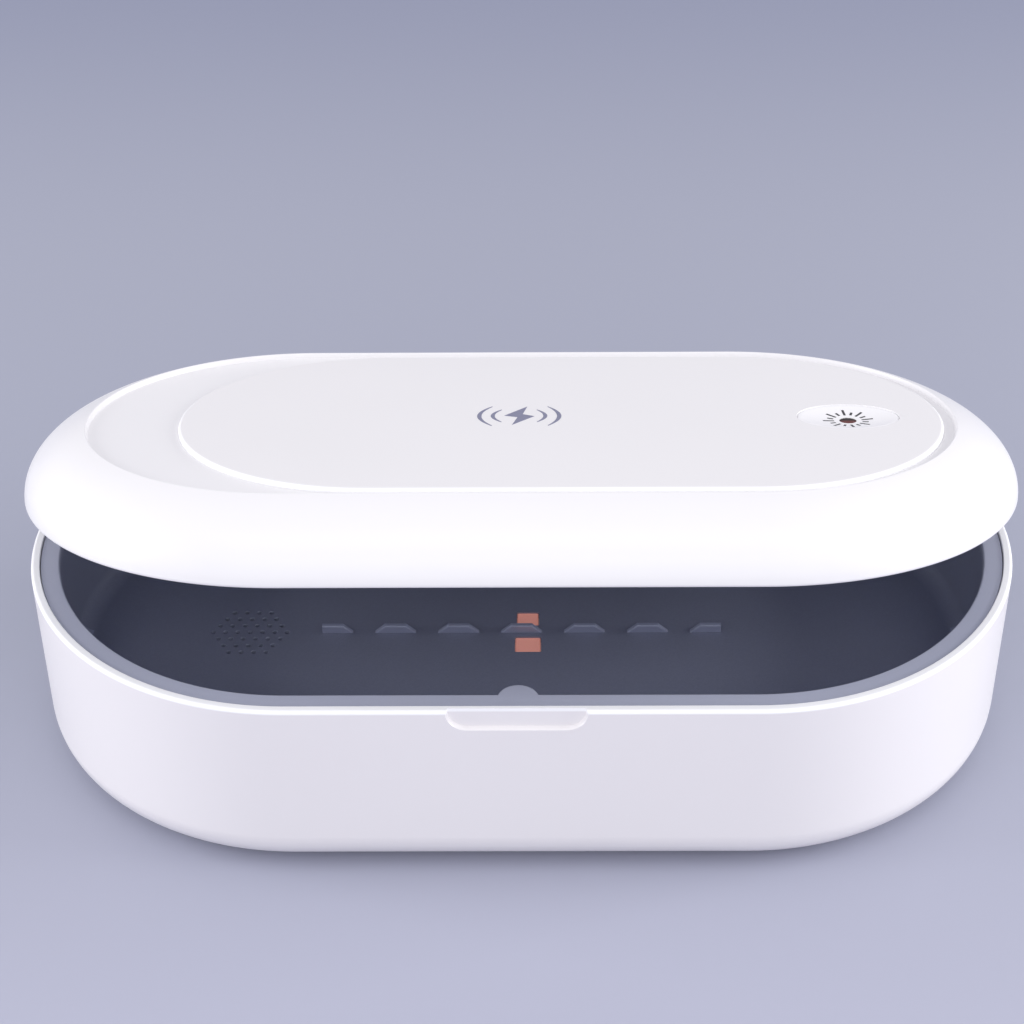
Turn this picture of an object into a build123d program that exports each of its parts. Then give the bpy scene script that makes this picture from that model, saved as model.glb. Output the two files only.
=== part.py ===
from build123d import *
import math
import os

# An oval ultraviolet steriliser box for phones, with a hinged lid that also charges them.
#
# Frame: X runs along the box, -Y is the front with the thumb scoop, +Y is the hinge side,
# Z is up, and the origin is on the table under the middle of the box. Millimetres.
# Pieces of the lid are drawn with the lid shut and then swung open to where it rests, ajar.

# ---------------------------------------------------------------- overall
box_length = 220.0
box_width = 122.0
base_height = 45.0
foot_stand = 1.0
shut_gap = 0.4
lid_rest_angle = 13.5

# ---------------------------------------------------------------- base shell
base_taper = 1.0
base_edge_radius = 10.0
rim_wall = 2.0
rim_rounding = 0.4
base_wall = 2.6
base_floor = 2.4
seat_depth = 2.3
scoop_width = 29.2
scoop_height = 4.8
scoop_depth = 1.1
scoop_corner = 4.0
scoop_flare = 30.0

# ---------------------------------------------------------------- inner tray
tray_fit = 0.15
tray_drop = 0.6
tray_wall = 1.6
ledge_width = 4.2
ledge_rounding = 0.4
tray_depth = 26.1
tray_taper = 3.0
tray_corner = 4.0
lobe_radius = 4.5
lobe_reach = 3.4
lobe_roof = 1.4
lobe_wall = 1.3
tooth_count = 7
tooth_pitch = 14.2
tooth_foot = 10.2
tooth_top = 5.0
tooth_height = 2.2
tooth_thickness = 1.2
vent_rings = 3
vent_pitch = 2.86
vent_hole = 1.2
vent_inset = 40.65

# ---------------------------------------------------------------- ultraviolet lamps
led_length = 4.9
led_width = 4.7
big_led_length = 5.8
big_led_width = 5.3
led_height = 1.4
led_clearance = 0.15
base_led_x = 1.5
base_led_spacing = 9.6
led_board_length = 26.0
led_board_width = 16.0
led_board_thickness = 1.2
strip_led_count = 4
strip_led_pitch = 32.0
strip_width = 10.0
strip_thickness = 1.0
strip_margin = 7.0

# ---------------------------------------------------------------- scent cup
cup_wall = 1.2
cup_height = 6.5
cup_margin = 1.4
scent_pad_fit = 0.15

# ---------------------------------------------------------------- electronics in the base
board_thickness = 1.4
main_board_length = 84.0
main_board_width = 40.0
board_corner = 2.0
board_standoff = 3.2
standoff_radius = 2.6
board_hole_radius = 1.3
board_hole_inset = 5.0
board_edge_gap = 4.0
board_lead_inset = 3.0
usb_width = 8.94
usb_height = 3.2
usb_length = 7.4
usb_shell = 0.3
usb_tongue_width = 6.7
usb_tongue_thickness = 0.7
usb_inset = 0.7
usb_clearance = 0.3
chip_size = 9.0
chip_spacing = 22.5
chip_height = 1.6
capacitor_radius = 3.2
capacitor_height = 7.0
inductor_size = 7.0
inductor_height = 3.6
sensor_board_length = 3.6
sensor_board_width = 2.0
sensor_board_thickness = 0.8
sensor_length = 2.6
sensor_width = 1.4
sensor_height = 1.0
sensor_offset = 1.2

# ---------------------------------------------------------------- feet and screws
foot_radius = 6.5
foot_sink = 1.0
foot_end_inset = 40.0
foot_side_inset = 29.0
foot_fit = 0.2
screw_radius = 1.25
screw_head_radius = 2.3
screw_head_height = 1.8
screw_length = 12.0
screw_fit = 0.25
pilot_radius = 1.3
boss_radius = 4.2
boss_height = 4.6
post_radius = 3.4

# ---------------------------------------------------------------- hinge
hinge_inset = 0.8
barrel_radius = 2.7
barrel_clearance = 0.3
knuckle_gap = 0.4
outer_knuckle = 12.0
lid_knuckle = 15.2
middle_knuckle = 16.0
pin_radius = 1.0
pin_fit = 0.02
pin_length = 20.8
pin_cap = 1.0
bush_radius = 1.6
bush_length = 8.2
bush_fit = 0.03
bush_relief = 0.2
web_drop = 8.0
web_rise = 6.0
web_root = 0.4
slit_overcut = 2.0

# ---------------------------------------------------------------- lid shell
lid_inset = 0.5
lid_wall = 2.2
lid_lip_radius = 0.7
nose_land = 0.1
nose_reach = 25.4
nose_rise = 16.1
deck_inset = 14.4
deck_height = 13.9
deck_slope = 12.0
pad_margin = 2.3
pad_short_end = 19.9
pad_height = 1.1
pad_pocket = 0.8
pad_fit = 0.12
pad_edge = 0.9

# ---------------------------------------------------------------- power key
key_end_inset = 20.6
key_length = 22.0
key_width = 15.6
key_fit = 0.25
key_sink = 0.15
key_flange = 1.3
key_flange_thickness = 1.0
key_lift_gap = 0.2
key_travel = 0.4
dish_lip = 0.5
dish_depth = 0.9
dish_ball = 20.0
window_radius = 1.85
window_fit = 0.05
stem_radius = 2.2
stem_offset = 7.0
switch_size = 6.0
switch_height = 1.6
plunger_radius = 1.5
plunger_height = 1.3
plunger_rise = 0.7
plunger_fit = 0.15
indicator_length = 3.0
indicator_width = 1.6
indicator_height = 0.8
light_gap = 0.9

# ---------------------------------------------------------------- lid liner and what lies over it
liner_fit = 0.4
liner_drop = 0.8
liner_wall = 1.6
liner_flange = 10.0
field_rise = 2.5
field_taper = 30.0
board_post_height = 1.4
board_post_radius = 2.0
board_post_inset = 3.0
charge_board_length = 44.0
charge_board_width = 26.0
charge_board_inset = 4.1
charge_chip_size = 6.0
charge_chip_height = 1.0
lid_board_thickness = 1.2
control_board_length = 26.0
control_board_width = 18.0
coil_radius = 22.0
coil_eye_radius = 10.0
coil_thickness = 1.8
coil_turns = 7
coil_groove = 0.4
coil_y = 1.0
ferrite_overhang = 1.0
ferrite_thickness = 1.0
stack_gap = 0.1
magnet_radius = 3.0
magnet_height = 2.0
magnet_cup_wall = 1.0
magnet_fit = 0.1
lid_screw_end_inset = 38.0
lid_screw_side_inset = 30.5
lid_screw_length = 7.0
lid_boss_radius = 3.0
liner_boss_height = 1.0
seat_gap = 0.05

# ---------------------------------------------------------------- wiring
wire_radius = 0.7
wire_bend = 2.4
hinge_wire_bend = 1.5
board_wire_bend = 0.8
wire_channel = 1.15
wire_gap = 0.1
wire_rise = 3.5

# ---------------------------------------------------------------- worked-out levels and places
rim_z = foot_stand + base_height
floor_z = foot_stand + base_floor
seat_z = rim_z - seat_depth
ledge_z = rim_z - tray_drop
tray_floor_z = ledge_z - tray_depth
tray_under_z = tray_floor_z - tray_wall
ledge_under_z = ledge_z - tray_wall
board_z = floor_z + board_standoff
board_top_z = board_z + board_thickness

hinge_y = box_width / 2 - hinge_inset
hinge_z = rim_z + shut_gap / 2
hinge_axis = Axis((0, hinge_y, hinge_z), (1, 0, 0))
cove_radius = barrel_radius + barrel_clearance

tray_outer_length = box_length - 2 * (rim_wall + tray_fit)
tray_outer_width = box_width - 2 * (rim_wall + tray_fit)
opening_length = tray_outer_length - 2 * ledge_width
opening_width = tray_outer_width - 2 * ledge_width

lid_z = rim_z + shut_gap
lid_length = box_length - 2 * lid_inset
lid_width = box_width - 2 * lid_inset
nose_z = lid_z + lid_lip_radius + nose_land
deck_z = lid_z + deck_height
deck_under_z = deck_z - lid_wall
deck_length = lid_length - 2 * deck_inset
deck_width = lid_width - 2 * deck_inset
pad_width = deck_width - 2 * pad_margin
pad_length = deck_length - pad_margin - pad_short_end
pad_x = (pad_short_end - pad_margin) / 2
key_x = pad_x + pad_length / 2 - key_end_inset
pad_z = deck_z - pad_pocket
pad_top_z = deck_z + pad_height

liner_z = lid_z + liner_drop
liner_length = lid_length - 2 * (lid_wall + liner_fit)
liner_width = lid_width - 2 * (lid_wall + liner_fit)
field_length = liner_length - 2 * liner_flange
field_width = liner_width - 2 * liner_flange
field_z = liner_z + field_rise
field_top_z = field_z + liner_wall
liner_notch_y = hinge_y - cove_radius - 2.5 * wire_radius
lid_board_z = field_top_z + board_post_height
charge_board_y = field_width / 2 - charge_board_inset - charge_board_width / 2
lid_board_top_z = lid_board_z + lid_board_thickness

middle_end = middle_knuckle / 2
lid_knuckle_start = middle_end + knuckle_gap
lid_knuckle_end = lid_knuckle_start + lid_knuckle
outer_start = lid_knuckle_end + knuckle_gap
hinge_end = outer_start + outer_knuckle
pin_start = hinge_end - pin_length
bush_start = lid_knuckle_end - bush_length
notch_y = hinge_y - cove_radius - tray_fit
slot_x = -middle_end / 4
lid_slot_x = lid_knuckle_start + wire_radius + hinge_wire_bend

foot_x = box_length / 2 - foot_end_inset
foot_y = box_width / 2 - foot_side_inset
foot_points = [(x, y) for x in (-foot_x, foot_x) for y in (-foot_y, foot_y)]
lid_screw_x = lid_length / 2 - lid_screw_end_inset
lid_screw_y = lid_width / 2 - lid_screw_side_inset
lid_screw_points = [(x, y) for x in (-lid_screw_x, lid_screw_x) for y in (-lid_screw_y, lid_screw_y)]

wall_y = box_width / 2 - math.tan(math.radians(base_taper)) * (rim_z - board_top_z)
main_board_y = wall_y - base_wall - board_edge_gap - main_board_width / 2
board_hole_x = main_board_length / 2 - board_hole_inset
board_hole_y = main_board_width / 2 - board_hole_inset
usb_z = board_top_z + usb_height / 2
usb_mouth_y = wall_y - usb_inset
lobe_y = -(opening_width / 2) + lobe_reach - lobe_radius
vent_x = vent_inset - opening_length / 2
big_led_spot = (base_led_x, -base_led_spacing / 2)
small_led_spot = (base_led_x, base_led_spacing / 2)
strip_spots = [((i - (strip_led_count - 1) / 2) * strip_led_pitch, 0) for i in range(strip_led_count)]
strip_length = (strip_led_count - 1) * strip_led_pitch + 2 * strip_margin
control_board_x = key_x - stem_offset / 2
lobe_back_y = -(opening_width / 2 + tray_wall)
boss_top_z = floor_z + boss_height
cup_radius = vent_rings * vent_pitch + vent_hole / 2 + cup_margin + cup_wall
sensor_y = lobe_y + sensor_offset
sensor_z = ledge_z - lobe_roof - seat_gap - sensor_height - sensor_board_thickness
lead_y = main_board_y + main_board_width / 2 - board_lead_inset
near_lead_y = main_board_y - main_board_width / 2 + board_lead_inset
riser_y = (opening_width / 2 + tray_wall + box_width / 2 - base_wall - wire_gap) / 2 - wire_gap
lamp_lead_x = base_led_x + led_length
lid_boss_z = field_top_z + liner_boss_height + seat_gap
charge_board_post_x = charge_board_length / 2 - board_post_inset
charge_board_post_y = charge_board_width / 2 - board_post_inset
control_board_post_x = control_board_length / 2 - board_post_inset
control_board_post_y = control_board_width / 2 - board_post_inset
magnet_y = -(field_width / 2 + magnet_radius + magnet_fit + magnet_cup_wall)
key_top_z = pad_top_z - key_sink
flange_top_z = deck_under_z - key_lift_gap
flange_z = flange_top_z - key_flange_thickness
switch_top_z = lid_board_top_z + switch_height
plunger_top_z = switch_top_z + plunger_rise
indicator_top_z = lid_board_top_z + indicator_height
window_z = indicator_top_z + light_gap
coil_z = deck_under_z - stack_gap - coil_thickness
lid_riser_y = hinge_y - barrel_radius - wire_channel / 2
lid_wire_z = lid_board_top_z + wire_radius + board_wire_bend + wire_gap
lid_lead_y = charge_board_y + charge_board_width / 2 - board_lead_inset
strip_lead_y = charge_board_y - charge_board_width / 2 + board_lead_inset
charge_lead_x = charge_board_length / 2 - board_lead_inset
strip_lead_x = -(coil_radius + ferrite_overhang + 10 * wire_radius)
ferrite_z = coil_z - stack_gap - ferrite_thickness


def save(piece, name):
    """Label a finished piece and write it as its own STEP file."""
    piece.label = name
    export_step(piece, f"parts/{name}.step")


def save_on_lid(piece, name):
    """Swing a piece of the shut lid open to its resting angle about the hinge, and write it."""
    save(piece.rotate(hinge_axis, -lid_rest_angle), name)


def hinge_rod(radius, start, end):
    """A round rod on the hinge axis, from one X to another."""
    with BuildPart() as rod:
        with BuildSketch(Plane.YZ.offset(start)):
            with Locations((hinge_y, hinge_z)):
                Circle(radius)
        extrude(amount=end - start)
    return rod.part


def knuckle(start, end, web):
    """A hinge barrel with the web that ties it to its shell; web points are (y, z) from the axis."""
    with BuildPart() as barrel:
        with BuildSketch(Plane.YZ.offset(start)):
            with Locations((hinge_y, hinge_z)):
                Circle(barrel_radius)
            with BuildLine():
                Polyline(*[(hinge_y + y, hinge_z + z) for y, z in web], close=True)
            make_face()
        extrude(amount=end - start)
    return barrel.part


def wire(points, bend):
    """An insulated wire along straight runs with rounded corners."""
    with BuildPart() as lead:
        with BuildLine() as route:
            FilletPolyline(*points, radius=bend)
        with BuildSketch(Plane(origin=route.line @ 0, z_dir=route.line % 0)):
            Circle(wire_radius)
        sweep()
    return lead.part


def screw(head_z, length):
    """A countersunk self-tapping screw on the Z axis, head down, its flat face at head_z."""
    with BuildPart() as fastener:
        with BuildSketch(Plane.XZ):
            with BuildLine():
                Polyline(
                    (0, head_z),
                    (screw_head_radius, head_z),
                    (screw_head_radius, head_z + screw_head_height / 4),
                    (screw_radius, head_z + screw_head_height),
                    (screw_radius, head_z + length - screw_radius),
                    (0, head_z + length),
                    close=True,
                )
            make_face()
        revolve(axis=Axis.Z)
    return fastener.part


def lid_dome(inset):
    """The domed oval body of the lid, all round by an inset smaller, before its deck is cut."""
    edge = lid_width / 2 - inset
    reach = nose_reach - inset
    rise = nose_rise - inset
    straight = (lid_length - lid_width) / 2
    with BuildSketch(Plane.YZ, mode=Mode.PRIVATE) as half_section:
        with BuildLine():
            nose = EllipticalCenterArc((edge - reach, nose_z), reach, rise, arc_size=90)
            Polyline(nose @ 1, (0, nose_z + rise), (0, lid_z), (edge, lid_z), nose @ 0)
        make_face()
    with BuildPart() as dome:
        extrude(half_section.sketch, amount=straight, both=True)
        mirror(about=Plane.XZ)
        for side in (-1, 1):
            end_face = half_section.sketch.moved(Location((side * straight, 0, 0)))
            revolve(end_face, axis=Axis((side * straight, 0, 0), (0, 0, -side)), revolution_arc=180)
    return dome.part


os.makedirs("parts", exist_ok=True)

# ================================================================ base shell
# The hollow of the tub, rounded at the foot like its outside.
with BuildPart() as base_hollow:
    with BuildSketch(Plane.XY.offset(seat_z)):
        SlotOverall(box_length - 2 * base_wall, box_width - 2 * base_wall)
    extrude(amount=floor_z - seat_z, taper=base_taper)
    fillet(base_hollow.edges().group_by(Axis.Z)[0], radius=base_edge_radius - base_wall)

base_web = [
    (-barrel_radius, 0),
    (-barrel_radius, -barrel_radius),
    (hinge_inset - base_wall - web_root, -web_drop),
    (hinge_inset - base_wall / 4, -web_drop),
    (barrel_radius, -barrel_radius / 2),
    (barrel_radius, 0),
]

base_slit = [
    (-barrel_radius - slit_overcut, -web_drop - slit_overcut),
    (-barrel_radius + wire_channel, -web_drop - slit_overcut),
    (-barrel_radius + wire_channel, -web_drop + slit_overcut),
    (wire_channel, -wire_channel),
    (wire_channel, wire_channel),
    (-wire_channel, wire_channel),
    (-barrel_radius - slit_overcut, -slit_overcut),
]

with BuildPart() as base_shell:
    with BuildSketch(Plane.XY.offset(rim_z)):
        SlotOverall(box_length, box_width)
    extrude(amount=-base_height, taper=base_taper)
    fillet(base_shell.edges().group_by(Axis.Z)[0], radius=base_edge_radius)
    fillet(base_shell.edges().group_by(Axis.Z)[-1], radius=rim_rounding)
    add(base_hollow.part, mode=Mode.SUBTRACT)
    # the wider mouth, whose step carries the tray
    with BuildSketch(Plane.XY.offset(seat_z)):
        SlotOverall(box_length - 2 * rim_wall, box_width - 2 * rim_wall)
    extrude(amount=seat_depth, mode=Mode.SUBTRACT)
    # screw bosses, standoffs for the main board
    with BuildSketch(Plane.XY.offset(floor_z)):
        with Locations(*foot_points):
            Circle(boss_radius)
    extrude(amount=boss_height)
    with BuildSketch(Plane.XY.offset(floor_z)):
        with Locations((0, main_board_y)):
            with GridLocations(2 * board_hole_x, 2 * board_hole_y, 2, 2):
                Circle(standoff_radius)
    extrude(amount=board_standoff)
    # recesses for the feet, with a countersunk screw hole above each
    with BuildSketch(Plane.XY.offset(foot_stand)):
        with Locations(*foot_points):
            Circle(foot_radius + foot_fit)
    extrude(amount=foot_sink, mode=Mode.SUBTRACT)
    with BuildSketch(Plane.XY.offset(foot_stand + foot_sink)):
        with Locations(*foot_points):
            Circle(screw_head_radius + screw_fit)
    extrude(amount=screw_fit + screw_head_height, mode=Mode.SUBTRACT)
    with BuildSketch(Plane.XY.offset(foot_stand)):
        with Locations(*foot_points):
            Circle(screw_radius + screw_fit)
    extrude(amount=base_floor + boss_height, mode=Mode.SUBTRACT)
    # thumb scoop under the lid's front edge, flaring outwards
    with BuildSketch(Plane.XZ.offset(box_width / 2 - scoop_depth)):
        with Locations((0, rim_z)):
            RectangleRounded(scoop_width, 2 * scoop_height, scoop_corner)
    extrude(amount=2 * scoop_depth, taper=-scoop_flare, mode=Mode.SUBTRACT)
    # opening for the power lead
    with BuildSketch(Plane.XZ.offset(base_wall + usb_clearance - usb_mouth_y)):
        with Locations((0, usb_z)):
            SlotOverall(usb_width + 2 * usb_clearance, usb_height + 2 * usb_clearance)
    extrude(amount=-2 * base_wall, mode=Mode.SUBTRACT)
    # hinge: a cove for the whole barrel, then the base's own three knuckles
    add(hinge_rod(cove_radius, -hinge_end - knuckle_gap, hinge_end + knuckle_gap), mode=Mode.SUBTRACT)
    add(knuckle(-hinge_end, -outer_start, base_web))
    add(knuckle(-middle_end, middle_end, base_web))
    add(knuckle(outer_start, hinge_end, base_web))
    for side in (-1, 1):
        add(hinge_rod(pin_radius + pin_fit, side * outer_start, side * (hinge_end - pin_cap)), mode=Mode.SUBTRACT)
    # the hollow middle knuckle, slit towards the inside for the lid's wires
    add(hinge_rod(wire_channel, slot_x, middle_end), mode=Mode.SUBTRACT)
    with BuildSketch(Plane.YZ.offset(slot_x - wire_channel)):
        with BuildLine():
            Polyline(*[(hinge_y + y, hinge_z + z) for y, z in base_slit], close=True)
        make_face()
    extrude(amount=2 * wire_channel + hinge_wire_bend / 2, mode=Mode.SUBTRACT)
save(base_shell.part, "base_shell")

# ================================================================ inner tray
# One moulding: the ledge round its mouth, the half-round lobe at the front, the well with its
# toothed rest, the scent vent and the lamp windows, and the screw posts beneath.
with BuildPart() as tray_well:
    with BuildSketch(Plane.XY.offset(ledge_z)):
        SlotOverall(opening_length, opening_width)
    extrude(amount=-tray_depth, taper=tray_taper)
    fillet(tray_well.edges().group_by(Axis.Z)[0], radius=tray_corner)

with BuildPart() as inner_tray:
    with BuildSketch(Plane.XY.offset(ledge_z)):
        SlotOverall(opening_length + 2 * tray_wall, opening_width + 2 * tray_wall)
    extrude(amount=-tray_depth - tray_wall, taper=tray_taper)
    fillet(inner_tray.edges().group_by(Axis.Z)[0], radius=tray_corner + tray_wall)
    with BuildSketch(Plane.XY.offset(ledge_under_z)):
        SlotOverall(tray_outer_length, tray_outer_width)
        with Locations((0, notch_y + ledge_width)):
            Rectangle(2 * (hinge_end + knuckle_gap + tray_fit), 2 * ledge_width, mode=Mode.SUBTRACT)
    extrude(amount=tray_wall)
    add(tray_well.part, mode=Mode.SUBTRACT)
    # the lobe is a hollow half-round column down the front wall
    with BuildSketch(Plane.XY.offset(tray_under_z)):
        with Locations((0, lobe_y)):
            Circle(lobe_radius)
        with Locations((0, lobe_back_y)):
            Rectangle(3 * lobe_radius, 3 * lobe_radius, align=(Align.CENTER, Align.MAX), mode=Mode.SUBTRACT)
    extrude(amount=ledge_z - tray_under_z)
    with BuildSketch(Plane.XY.offset(tray_under_z)):
        with Locations((0, lobe_y)):
            Circle(lobe_radius - lobe_wall)
        with Locations((0, lobe_back_y + lobe_wall / 2)):
            Rectangle(3 * lobe_radius, 3 * lobe_radius, align=(Align.CENTER, Align.MAX), mode=Mode.SUBTRACT)
    extrude(amount=ledge_z - lobe_roof - tray_under_z, mode=Mode.SUBTRACT)
    mouth = inner_tray.faces().filter_by(Axis.Z).sort_by(Axis.Z)[-1].inner_wires()[0]
    fillet(mouth.edges(), radius=ledge_rounding)
    # toothed rest along the middle of the floor; the end teeth are cut square
    with BuildSketch(Plane.XZ):
        for i in range(tooth_count):
            x = (i - (tooth_count - 1) / 2) * tooth_pitch
            left = tooth_top / 2 if i == 0 else tooth_foot / 2
            right = tooth_top / 2 if i == tooth_count - 1 else tooth_foot / 2
            with BuildLine():
                Polyline(
                    (x - left, tray_floor_z - tray_wall / 2),
                    (x - left, tray_floor_z),
                    (x - tooth_top / 2, tray_floor_z + tooth_height),
                    (x + tooth_top / 2, tray_floor_z + tooth_height),
                    (x + right, tray_floor_z),
                    (x + right, tray_floor_z - tray_wall / 2),
                    close=True,
                )
            make_face()
    extrude(amount=tooth_thickness / 2, both=True)
    # hexagon of scent holes and the two lamp windows
    with BuildSketch(Plane.XY.offset(tray_floor_z)):
        for row in range(-vent_rings, vent_rings + 1):
            with Locations((vent_x, row * vent_pitch * math.sqrt(3) / 2)):
                with GridLocations(vent_pitch, 0, 2 * vent_rings + 1 - abs(row), 1):
                    Circle(vent_hole / 2)
        with Locations(big_led_spot):
            Rectangle(big_led_length + 2 * led_clearance, big_led_width + 2 * led_clearance)
        with Locations(small_led_spot):
            Rectangle(led_length + 2 * led_clearance, led_width + 2 * led_clearance)
    extrude(amount=-tray_wall, mode=Mode.SUBTRACT)
    # posts for the screws that come up through the feet
    with BuildSketch(Plane.XY.offset(boss_top_z + seat_gap)):
        with Locations(*foot_points):
            Circle(post_radius)
            Circle(pilot_radius, mode=Mode.SUBTRACT)
    extrude(amount=tray_under_z + tray_wall / 4 - boss_top_z - seat_gap)
save(inner_tray.part, "inner_tray")

# ================================================================ lamps under the tray
with BuildPart() as base_led_board:
    with BuildSketch(Plane.XY.offset(tray_under_z - seat_gap)):
        with Locations((base_led_x, 0)):
            RectangleRounded(led_board_length, led_board_width, board_corner)
    extrude(amount=-led_board_thickness)
save(base_led_board.part, "base_led_board")

with BuildPart() as base_uv_lamps:
    with BuildSketch(Plane.XY.offset(tray_under_z)):
        with Locations(big_led_spot):
            Rectangle(big_led_length, big_led_width)
        with Locations(small_led_spot):
            Rectangle(led_length, led_width)
    extrude(amount=led_height)
save(base_uv_lamps.part, "base_uv_lamps")

# ================================================================ scent cup and its felt
with BuildPart() as scent_cup:
    with BuildSketch(Plane.XY.offset(tray_under_z - seat_gap)):
        with Locations((vent_x, 0)):
            Circle(cup_radius)
    extrude(amount=-cup_height)
    fillet(scent_cup.edges().group_by(Axis.Z)[0], radius=cup_wall)
    with BuildSketch(Plane.XY.offset(tray_under_z - seat_gap)):
        with Locations((vent_x, 0)):
            Circle(cup_radius - cup_wall)
    extrude(amount=cup_wall - cup_height, mode=Mode.SUBTRACT)
save(scent_cup.part, "scent_cup")

with BuildPart() as scent_pad:
    with BuildSketch(Plane.XY.offset(tray_under_z - seat_gap - cup_height + cup_wall + scent_pad_fit)):
        with Locations((vent_x, 0)):
            Circle(cup_radius - cup_wall - scent_pad_fit)
    extrude(amount=cup_height - cup_wall - 2 * scent_pad_fit)
save(scent_pad.part, "scent_pad")

# ================================================================ electronics in the base
with BuildPart() as main_board:
    with BuildSketch(Plane.XY.offset(board_z)):
        with Locations((0, main_board_y)):
            RectangleRounded(main_board_length, main_board_width, board_corner)
            with GridLocations(2 * board_hole_x, 2 * board_hole_y, 2, 2):
                Circle(board_hole_radius, mode=Mode.SUBTRACT)
    extrude(amount=board_thickness)
save(main_board.part, "main_board")

with BuildPart() as board_chips:
    with BuildSketch(Plane.XY.offset(board_top_z)):
        with Locations((0, main_board_y)):
            with GridLocations(chip_spacing, 0, 2, 1):
                Rectangle(chip_size, chip_size)
    extrude(amount=chip_height)
    chamfer(board_chips.edges().group_by(Axis.Z)[-1], length=chip_height / 6)
save(board_chips.part, "board_chips")

with BuildPart() as board_inductor:
    with BuildSketch(Plane.XY.offset(board_top_z)):
        with Locations((-board_hole_x + 2 * inductor_size, main_board_y + board_hole_y - inductor_size / 2)):
            RectangleRounded(inductor_size, inductor_size, inductor_size / 5)
    extrude(amount=inductor_height)
save(board_inductor.part, "board_inductor")

with BuildPart() as board_capacitor:
    with BuildSketch(Plane.XY.offset(board_top_z)):
        with Locations((board_hole_x - 3 * capacitor_radius, main_board_y + board_hole_y - capacitor_radius)):
            Circle(capacitor_radius)
    extrude(amount=capacitor_height)
    fillet(board_capacitor.edges().group_by(Axis.Z)[-1], radius=capacitor_radius / 5)
save(board_capacitor.part, "board_capacitor")

with BuildPart() as usb_socket:
    with BuildSketch(Plane.XZ.offset(-usb_mouth_y)):
        with Locations((0, usb_z)):
            SlotOverall(usb_width, usb_height)
    extrude(amount=usb_length)
    with BuildSketch(Plane.XZ.offset(-usb_mouth_y)):
        with Locations((0, usb_z)):
            SlotOverall(usb_width - 2 * usb_shell, usb_height - 2 * usb_shell)
            Rectangle(usb_tongue_width, usb_tongue_thickness, mode=Mode.SUBTRACT)
    extrude(amount=usb_length - 3 * usb_shell, mode=Mode.SUBTRACT)
save(usb_socket.part, "usb_socket")

with BuildPart() as sensor_board:
    with BuildSketch(Plane.XY.offset(sensor_z)):
        with Locations((0, sensor_y)):
            Rectangle(sensor_board_length, sensor_board_width)
    extrude(amount=sensor_board_thickness)
save(sensor_board.part, "sensor_board")

with BuildPart() as lid_sensor:
    with BuildSketch(Plane.XY.offset(sensor_z + sensor_board_thickness)):
        with Locations((0, sensor_y)):
            Rectangle(sensor_length, sensor_width)
    extrude(amount=sensor_height)
save(lid_sensor.part, "lid_sensor")

# ================================================================ feet and screws
with BuildPart() as rubber_feet:
    with BuildSketch():
        with Locations(*foot_points):
            Circle(foot_radius)
    extrude(amount=foot_stand + foot_sink - seat_gap)
    chamfer(rubber_feet.edges().group_by(Axis.Z)[0], length=foot_stand / 2)
save(rubber_feet.part, "rubber_feet")

with BuildPart() as base_screws:
    with Locations(*foot_points):
        add(screw(foot_stand + foot_sink + seat_gap, screw_length))
save(base_screws.part, "base_screws")

# ================================================================ hinge pins and friction bushes
with BuildPart() as hinge_pins:
    for side in (-1, 1):
        add(hinge_rod(pin_radius, side * pin_start, side * (hinge_end - pin_cap - seat_gap)))
save(hinge_pins.part, "hinge_pins")

with BuildPart() as hinge_bushes:
    for side in (-1, 1):
        add(hinge_rod(bush_radius - pin_fit, side * bush_start, side * lid_knuckle_end))
        add(hinge_rod(pin_radius + bush_fit, side * bush_start, side * lid_knuckle_end), mode=Mode.SUBTRACT)
save_on_lid(hinge_bushes.part, "hinge_bushes")

# ================================================================ wiring in the base
hinge_lead = [
    (slot_x, lead_y, board_top_z + wire_gap),
    (slot_x, lead_y, board_top_z + wire_rise + wire_bend),
    (slot_x, riser_y, tray_under_z + wire_rise),
    (slot_x, riser_y, hinge_z - web_drop / 2),
    (slot_x, hinge_y, hinge_z),
    (middle_end + knuckle_gap / 2 - wire_gap / 2, hinge_y, hinge_z),
]
lamp_lead = [
    (lamp_lead_x, near_lead_y, board_top_z + wire_gap),
    (lamp_lead_x, near_lead_y, board_top_z + wire_rise + wire_radius),
    (lamp_lead_x, led_board_width / 4, board_top_z + wire_rise + wire_radius),
    (lamp_lead_x, led_board_width / 4, tray_under_z - led_board_thickness - wire_gap),
]
sensor_lead = [
    (-2 * chip_size, near_lead_y, board_top_z + wire_gap),
    (-2 * chip_size, near_lead_y, board_top_z + wire_rise),
    (-2 * chip_size, lobe_y / 2, board_top_z + wire_rise),
    (0, sensor_y, board_top_z + wire_rise),
    (0, sensor_y, sensor_z - wire_gap),
]
with BuildPart() as base_wires:
    add(wire(hinge_lead, [wire_bend, wire_bend, wire_bend, hinge_wire_bend]))
    add(wire(lamp_lead, wire_bend / 2))
    add(wire(sensor_lead, wire_bend / 2))
save(base_wires.part, "base_wires")

# ================================================================ lid shell
with BuildPart() as lid_hollow:
    add(lid_dome(lid_wall))
    split(bisect_by=Plane.XY.offset(deck_under_z), keep=Keep.BOTTOM)

# the webs rise from the barrel into the lid's back wall
lid_web = [
    (-barrel_radius, 0),
    (-barrel_radius, web_rise),
    (-barrel_radius / 2, web_rise),
    (barrel_radius * math.cos(math.radians(60)), barrel_radius * math.sin(math.radians(60))),
    (barrel_radius / 2, 0),
]
lid_slit = [
    (-wire_channel, -wire_channel),
    (wire_channel, -wire_channel),
    (wire_channel, wire_channel),
    (-barrel_radius / 2, barrel_radius + slit_overcut),
    (-barrel_radius - slit_overcut, barrel_radius + slit_overcut),
    (-barrel_radius - slit_overcut, wire_channel),
]

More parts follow.
